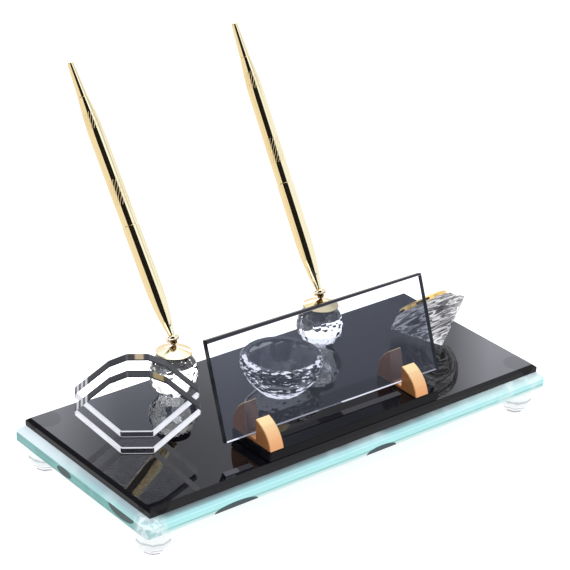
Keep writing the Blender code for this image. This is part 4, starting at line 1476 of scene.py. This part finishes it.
    def dome(self) -> None:
        """Turns the dome: a rounded brim, then a shallow cone that swells to a boss."""
        node = "dome_cap_" + self.side
        low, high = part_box(node)
        radius = (high.x - low.x) / 2 * self.dome_share
        tall = high.z - low.z
        t = np.linspace(0.0, 1.0, 25)
        brim = self.brim
        arc = np.radians(np.linspace(-90.0, 70.0, 9))
        edge = np.stack((radius - brim + brim * np.cos(arc), brim + brim * np.sin(arc)), -1)
        start_r, start_h = edge[-1]
        slope = np.stack((
            start_r + (self.boss - start_r) * t,
            start_h + (tall - start_h) * (0.72 * t + 0.28 * np.sin(np.pi / 2 * t)),
        ), -1)
        outline = np.concatenate((((0.0, 0.0),), edge, slope[1:], ((0.0, tall),)))
        place = Matrix.Translation((*plan_middle(node), low.z))
        piece = Surface.turned("dome_" + self.side, outline, self.dome_sides, place)
        finish = DomeGold("dome_gold_" + self.side, low.z + brim, light=self.dome_light)
        self.stand_for(piece, node, finish)

    def socket(self) -> None:
        """Turns the socket: ball housing, flared neck, bright rounded collar and a dished mouth."""
        tilt = self.joint("tilt_" + self.side)
        place = self.place(tilt["pos_m"], self.joint("pull_" + self.side)["axis"])
        t = np.linspace(0.0, 1.0, 9)
        inner, outer = self.housing
        lip = np.radians(self.closing * t)
        bore = np.stack((inner * np.sin(lip), inner * np.cos(lip)), -1)
        back = np.radians(self.closing - 36.0 * t)
        house = np.stack((outer * np.sin(back), outer * np.cos(back)), -1)
        flare = np.stack((outer + self.flare * t ** 1.4, 0.0005 + 0.0006 * t), -1)
        bulge = np.radians(np.linspace(-80.0, 80.0, 17))
        middle_r, middle_h, half_wide, half_tall = self.collar
        collar = np.stack((middle_r + half_wide * np.cos(bulge), middle_h + half_tall * np.sin(bulge)), -1)
        outline = np.concatenate((bore, house, flare[1:], collar, self.mouth))
        # painted light and shade: dark brown below the collar and in the mouth, cream on the bright collar
        dark, cream = (0.16, 0.09, 0.03), (1.0, 0.88, 0.66)
        stops = ((-3.0, dark), (0.9, dark), (1.5, cream), (4.2, cream), (4.25, dark))
        metal = Banded(
            "socket_metal_" + self.side, tuple(place.translation), tuple(place.col[2][:3]), stops, (-3.0, 6.0)
        )
        piece = Surface.turned("socket_" + self.side, outline, self.socket_sides, place, 40.0)
        self.stand_for(piece, "pen_socket_" + self.side, metal)

    def pen_place(self) -> Matrix:
        """Frame at the socket's rim with z along the pen."""
        twist = self.joint("twist_" + self.side)
        return self.place(twist["pos_m"], twist["axis"])

    def barrel(self) -> None:
        """Turns the lower barrel: nose, a cone that rounds into the barrel, and an open upper end."""
        t = np.linspace(0.0, 1.0, 40)
        wide = self.barrel_radius
        cone = np.stack((wide - (wide - self.nose_radius) * (1 - t) ** 2.3, self.nose_length * t), -1)
        rim = ((wide, 0.050), (wide, 0.0700), (wide, 0.0705), (wide - 0.00015, 0.0707))
        outline = np.concatenate((((0.0011, -0.0014),), cone, rim, self.barrel_bore))
        piece = Surface.turned("barrel_" + self.side, outline, self.sides, self.pen_place(), 35.0)
        self.stand_for(piece, "pen_barrel_" + self.side, PEN_METAL)

    def top(self) -> None:
        """Turns the upper barrel and sinks the strokes.

        A stroke is a steep helix: its phase is (h - slant r t) / pitch, and the groove is a V where the phase
        is near a whole number and h lies in one of the bands. An attribute keeps its depth for the pen's metal.
        """
        rise = np.unique(np.concatenate([np.linspace(*stretch) for stretch in self.rings]))
        swell, tail = (np.clip((rise - start) / length, 0.0, 1.0) for start, length in (self.swell, self.tail))
        radius = self.top_radius - 0.0001 * (1.0 - swell) - (self.top_radius - self.end_radius) * tail ** 1.7
        turn = 2.0 * np.pi * np.arange(self.stroke_sides) / self.stroke_sides
        whole = round(2 * np.pi * self.top_radius * self.slant / self.pitch)
        phase = rise[:, None] / self.pitch - turn[None, :] * whole / (2 * np.pi)
        near = np.abs(phase - np.round(phase))
        notch = np.clip(1.0 - near / self.stroke_width, 0.0, 1.0)
        inside = np.zeros_like(rise)
        for start, end in self.bands:
            inside = np.maximum(inside, np.clip(np.minimum(rise - start, end - rise) / self.fade, 0.0, 1.0))
        relief = -self.groove * notch * inside[:, None]
        outer = np.stack((radius, rise), -1)
        relief = np.concatenate((relief, np.zeros((len(self.top_bore), self.stroke_sides))))
        outline = np.concatenate((outer, self.top_bore))
        place = self.pen_place()
        piece = Surface.turned("top_" + self.side, outline, self.stroke_sides, place, 25.0, relief)
        depth = piece.data.attributes.new(STROKE, "FLOAT", "POINT")
        depth.data.foreach_set("value", (-relief / self.groove).ravel())
        self.stand_for(piece, "pen_top_" + self.side, PEN_METAL)

    def end(self) -> None:
        """Turns the end cap: a cone that closes in a rounded tip."""
        t = np.radians(np.linspace(0.0, 90.0, 12))
        wide, start, tall = self.tip
        tip = np.stack((wide * np.cos(t), start + tall * np.sin(t)), -1)
        tip[-1, 0] = 0.0
        cone = np.linspace((self.end_radius - 0.0001, 0.1542), (wide, start), 8)
        plug = np.array(((0.0, 0.148), (0.0016, 0.148), (0.0016, 0.154), (self.end_radius - 0.0003, 0.154)))
        outline = np.concatenate((plug, cone, tip[1:]))
        piece = Surface.turned("end_" + self.side, outline, self.sides, self.pen_place(), 35.0)
        self.stand_for(piece, "pen_end_" + self.side, PEN_METAL)


@dataclass
class Clock(SubAssembly):
    """Brilliant-cut crystal with the clock insert.

    Attributes:
        case_span: first and last place of the case's turned rings along its axis, in millimetres.
        ring_pitch: distance between two rings in millimetres.
        ring_width: width of a ring in millimetres.
    """

    case_span: Span = (-12.0, 12.0)
    ring_pitch: float = 1.7
    ring_width: float = 0.8

    def dress(self) -> None:
        """Dresses crystal, bezel, glass, case, movement and hands."""
        turn = self.joint("minute_turn")
        axis = -Vector(turn["axis"]).normalized()
        three = Vector(UP).cross(axis).normalized()
        twelve = axis.cross(three)
        self.carry("clock_crystal", StreakCrystal(
            "clock_crystal_glass", tint=(0.97, 0.975, 0.98), origin=tuple(turn["pos_m"]),
            centre=middle_of("clock_crystal"), axis=tuple(axis)
        ))
        self.carry("clock_lens", CRYSTAL)
        self.carry("clock_bezel", CLOCK_GOLD)
        light, dark = (0.92, 0.92, 0.93), (0.16, 0.16, 0.18)
        rings = np.arange(*self.case_span, self.ring_pitch)
        tones = ((0.0, dark), (self.ring_width, light))
        stops = tuple((at + shift, shade) for at in rings for shift, shade in tones)
        self.carry("clock_case", Banded("turned_case", tuple(turn["pos_m"]), tuple(axis), stops, (-12.0, 13.6)))
        self.carry("grip_ring", RING)
        self.carry("clock_dial", DialPrint("dial_print", tuple(turn["pos_m"]), tuple(twelve), tuple(-three)))
        self.carry("clock_movement", MOULDED)
        self.carry("clock_battery", STEEL)
        self.carry("setting_arbor", BRASS)
        for name in ("hour_hand", "minute_hand", "second_hand"):
            self.carry(name, LACQUER)


@dataclass(frozen=True)
class Card(Finish):
    """Curved card that shows in mirror images only.

    Attributes:
        across: heading of its middle from +X and its width, in degrees.
        rise: elevations of its lower and upper edge in degrees.
        shade: its brightness.
        sides: headings in degrees with the share of the brightness there, in rising order.
        steps: elevations in degrees with the share of the brightness there, in rising order.
        tone: colour of a card with such shares.
        gain: how much brighter than its shade such a card is.
    """

    across: Span
    rise: Span
    shade: float
    sides: Tuple[Span, ...] = ()
    steps: Tuple[Span, ...] = ()
    tone: Colour = (0.90, 0.915, 1.0)
    gain: float = 1.72

    def share(self, graph: Graph, angle: Socket, marks: Tuple[Span, ...]) -> Socket:
        """Share of the brightness at an angle.

        Args:
            graph: material being built.
            angle: the angle in radians.
            marks: angles in degrees with their shares.

        Returns:
            The share's socket.
        """
        start, end = radians(marks[0][0]), radians(marks[-1][0])
        place = graph.over(graph.less(angle, start), end - start)
        return graph.ramp(place, [((radians(at) - start) / (end - start), level) for at, level in marks])

    def make(self) -> bpy.types.Material:
        """Makes the material.

        Returns:
            A glow by heading and elevation.
        """
        graph = Graph(self.name)
        if not self.sides:
            return graph.done(graph.node("Emission", Color=(self.shade,) * 3, Strength=1.0))
        split = graph.node("SeparateXYZ", Vector=graph.coordinates()).outputs
        length = graph.vector("LENGTH", i0=graph.coordinates())["Value"]
        turn = self.share(graph, graph.maths("ARCTAN2", split[1], split[0]), self.sides)
        rise = self.share(graph, graph.maths("ARCSINE", graph.over(split[2], length)), self.steps)
        level = graph.times(graph.times(turn, rise), self.shade * self.gain)
        return graph.done(graph.node("Emission", Color=self.tone, Strength=level))


@dataclass
class Studio:
    """White desk and surroundings, a soft lamp, cards round the set and the camera.

    Attributes:
        camera_offset: the camera's place from the middle of the slab's top, in metres.
        heading: azimuth of the view in degrees.
        height: elevation of the view in degrees.
        roll: turn of the picture in degrees.
        lens: focal length in millimetres on a 36 mm sensor.
        floor_tone: albedo of the floor.
        floor_lift: light that the floor itself gives to the camera, which keeps its shadow faint.
        mirror_lift: the same for mirror images.
        through_lift: the same through glass.
        lamp_power: watts of the soft lamp.
        lamp_size: side of the lamp in metres.
        lamp_place: its place in metres.
        floor_half: half side of the floor in metres.
        sky: brightness of the surroundings up to 30 degrees and straight above.
        reach: distance of the cards in metres.
        cards: the cards round the set.
    """

    camera_offset: Point = (-0.72575, -0.86160, 0.62007)
    heading: float = -39.824
    height: float = 25.971
    roll: float = 2.451
    lens: float = 132.43
    floor_tone: float = 0.50
    floor_lift: float = 0.75
    mirror_lift: float = 0.30
    through_lift: float = 2.0
    lamp_power: float = 12.0
    lamp_size: float = 1.6
    lamp_place: Point = (0.5, 0.3, 2.0)
    floor_half: float = 12.0
    sky: Span = (0.95, 1.45)
    reach: float = 4.0
    cards: Tuple[Card, ...] = (
        Card("dark_front", (-126.0, 76.0), (1.5, 64.0), 0.012),
        Card("right_front", (-30.0, 40.0), (32.0, 62.0), 0.6),
        Card("left_side", (122.0, 56.0), (14.0, 66.0), 0.12),
        Card(
            "rear", (51.0, 40.0), (18.0, 42.0), 3.5,
            (
                (32.0, 0.50), (38.0, 0.62), (41.4, 0.60), (43.0, 0.28), (45.0, 0.15), (47.7, 0.18),
                (50.0, 0.29), (52.0, 0.38), (54.0, 0.34), (56.5, 0.40), (57.8, 0.62), (59.0, 0.92), (62.0, 1.0),
            ),
            ((25.0, 1.0), (27.4, 0.80), (28.7, 0.67), (30.0, 0.49), (31.4, 0.40), (33.0, 0.35)),
        ),
    )

    def build(self) -> None:
        """Builds the surroundings and the camera."""
        bpy.context.scene.view_settings.view_transform = "Standard"
        self.world()
        self.floor()
        self.lamp()
        for card in self.cards:
            self.card(card)
        self.camera()

    def camera(self) -> None:
        """Adds the camera that matches the photo."""
        middle = Vector((*plan_middle("smoked_slab"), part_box("smoked_slab")[1].z))
        az, el, turn = radians(self.heading), radians(self.height), radians(self.roll)
        back = Vector((sin(az) * cos(el), -cos(az) * cos(el), sin(el)))
        right = (-back).cross(Vector(UP)).normalized()
        up = right.cross(-back)
        side = cos(turn) * right + sin(turn) * up
        rise = -sin(turn) * right + cos(turn) * up
        data = bpy.data.cameras.new("camera")
        data.lens = self.lens
        data.sensor_width = 36.0
        data.clip_start = 0.05
        data.clip_end = 100.0
        shot = put("camera", data)
        place = Matrix.Translation(middle + Vector(self.camera_offset))
        shot.matrix_world = place @ Matrix((side, rise, back)).transposed().to_4x4()
        bpy.context.scene.camera = shot

    def floor(self) -> None:
        """Adds the white desk, which the camera sees as pure white where nothing shades it."""
        data = bpy.data.meshes.new("floor")
        half = self.floor_half
        corners = [(-half, -half, 0), (half, -half, 0), (half, half, 0), (-half, half, 0)]
        data.from_pydata(corners, [], [(0, 1, 2, 3)])
        desk = put("floor", data)
        graph = Graph("floor")
        tone = graph.mix(graph.noise(4.0), (self.floor_tone,) * 3, (self.floor_tone - 0.01,) * 3)
        ray = graph.node("LightPath").outputs
        lift = graph.times(ray["Is Camera Ray"], self.floor_lift)
        lift = graph.line(ray["Is Glossy Ray"], self.mirror_lift, lift)
        lift = graph.line(ray["Is Transmission Ray"], self.through_lift, lift)
        glow = graph.node("Emission", Color=(1.0, 1.0, 1.0, 1.0), Strength=lift)
        both = graph.node("AddShader", i0=graph.node("BsdfDiffuse", Color=tone).outputs[0], i1=glow.outputs[0])
        data.materials.append(graph.done(both))

    def world(self) -> None:
        """Adds the white surroundings."""
        sky = bpy.data.worlds.new("studio")
        bpy.context.scene.world = sky
        sky.use_nodes = True
        nodes, links = sky.node_tree.nodes, sky.node_tree.links
        back = nodes["Background"]
        back.inputs["Color"].default_value = (1.0, 1.0, 1.0, 1.0)
        split = nodes.new("ShaderNodeSeparateXYZ")
        links.new(nodes.new("ShaderNodeTexCoord").outputs["Generated"], split.inputs[0])
        rise = nodes.new("ShaderNodeMapRange")
        rise.interpolation_type = "SMOOTHSTEP"
        for socket, value in zip(rise.inputs[1:5], (0.5, 1.0, *self.sky)):
            socket.default_value = value
        links.new(split.outputs["Z"], rise.inputs[0])
        gain = nodes.new("ShaderNodeMath")
        gain.operation = "MULTIPLY_ADD"
        links.new(nodes.new("ShaderNodeLightPath").outputs["Is Transmission Ray"], gain.inputs[0])
        links.new(rise.outputs[0], gain.inputs[1])
        links.new(rise.outputs[0], gain.inputs[2])
        links.new(gain.outputs[0], back.inputs["Strength"])

    def lamp(self) -> None:
        """Adds one broad soft lamp from above the user's side."""
        data = bpy.data.lights.new("key", "AREA")
        data.shape = "SQUARE"
        data.size = self.lamp_size
        data.energy = self.lamp_power
        key = put("key", data)
        key.location = self.lamp_place
        key.visible_glossy = False
        key.rotation_euler = (key.location.normalized()).to_track_quat("Z", "Y").to_euler()

    def card(self, card: Card) -> None:
        """Adds one card: a patch of a sphere, its points given by heading and elevation.

        Args:
            card: where it stands and how bright it is.
        """
        middle, wide = card.across
        across = np.radians(np.linspace(middle - wide / 2, middle + wide / 2, 13))
        turn, lift = np.meshgrid(across, np.radians(np.linspace(*card.rise, 9)))
        flat = self.reach * np.cos(lift)
        points = np.stack((flat * np.cos(turn), flat * np.sin(turn), self.reach * np.sin(lift)), -1)
        index = np.arange(turn.size).reshape(turn.shape)
        faces = np.stack((index[:-1, :-1], index[:-1, 1:], index[1:, 1:], index[1:, :-1]), -1).reshape(-1, 4)
        data = bpy.data.meshes.new(card.name)
        data.from_pydata(points.reshape(-1, 3).tolist(), [], faces.tolist())
        piece = put(card.name, data)
        piece.visible_camera = False
        piece.visible_diffuse = False
        piece.visible_shadow = False
        data.materials.append(card.make())


def main() -> None:
    """Builds every sub-assembly in order, then the studio."""
    logging.basicConfig(level=logging.INFO, format="%(message)s")
    parts: List[SubAssembly] = [
        Base(), CardHolder(), Bowl(), NamePlate(), PenUnit("left"),
        PenUnit("right", dome_light=(0.88, 0.76, 0.47)), Clock(),
    ]
    for part in parts:
        part.build()
        part.dress()
        log.info("finished %s", type(part).__name__)
    Studio().build()


if __name__ == "__main__":
    main()
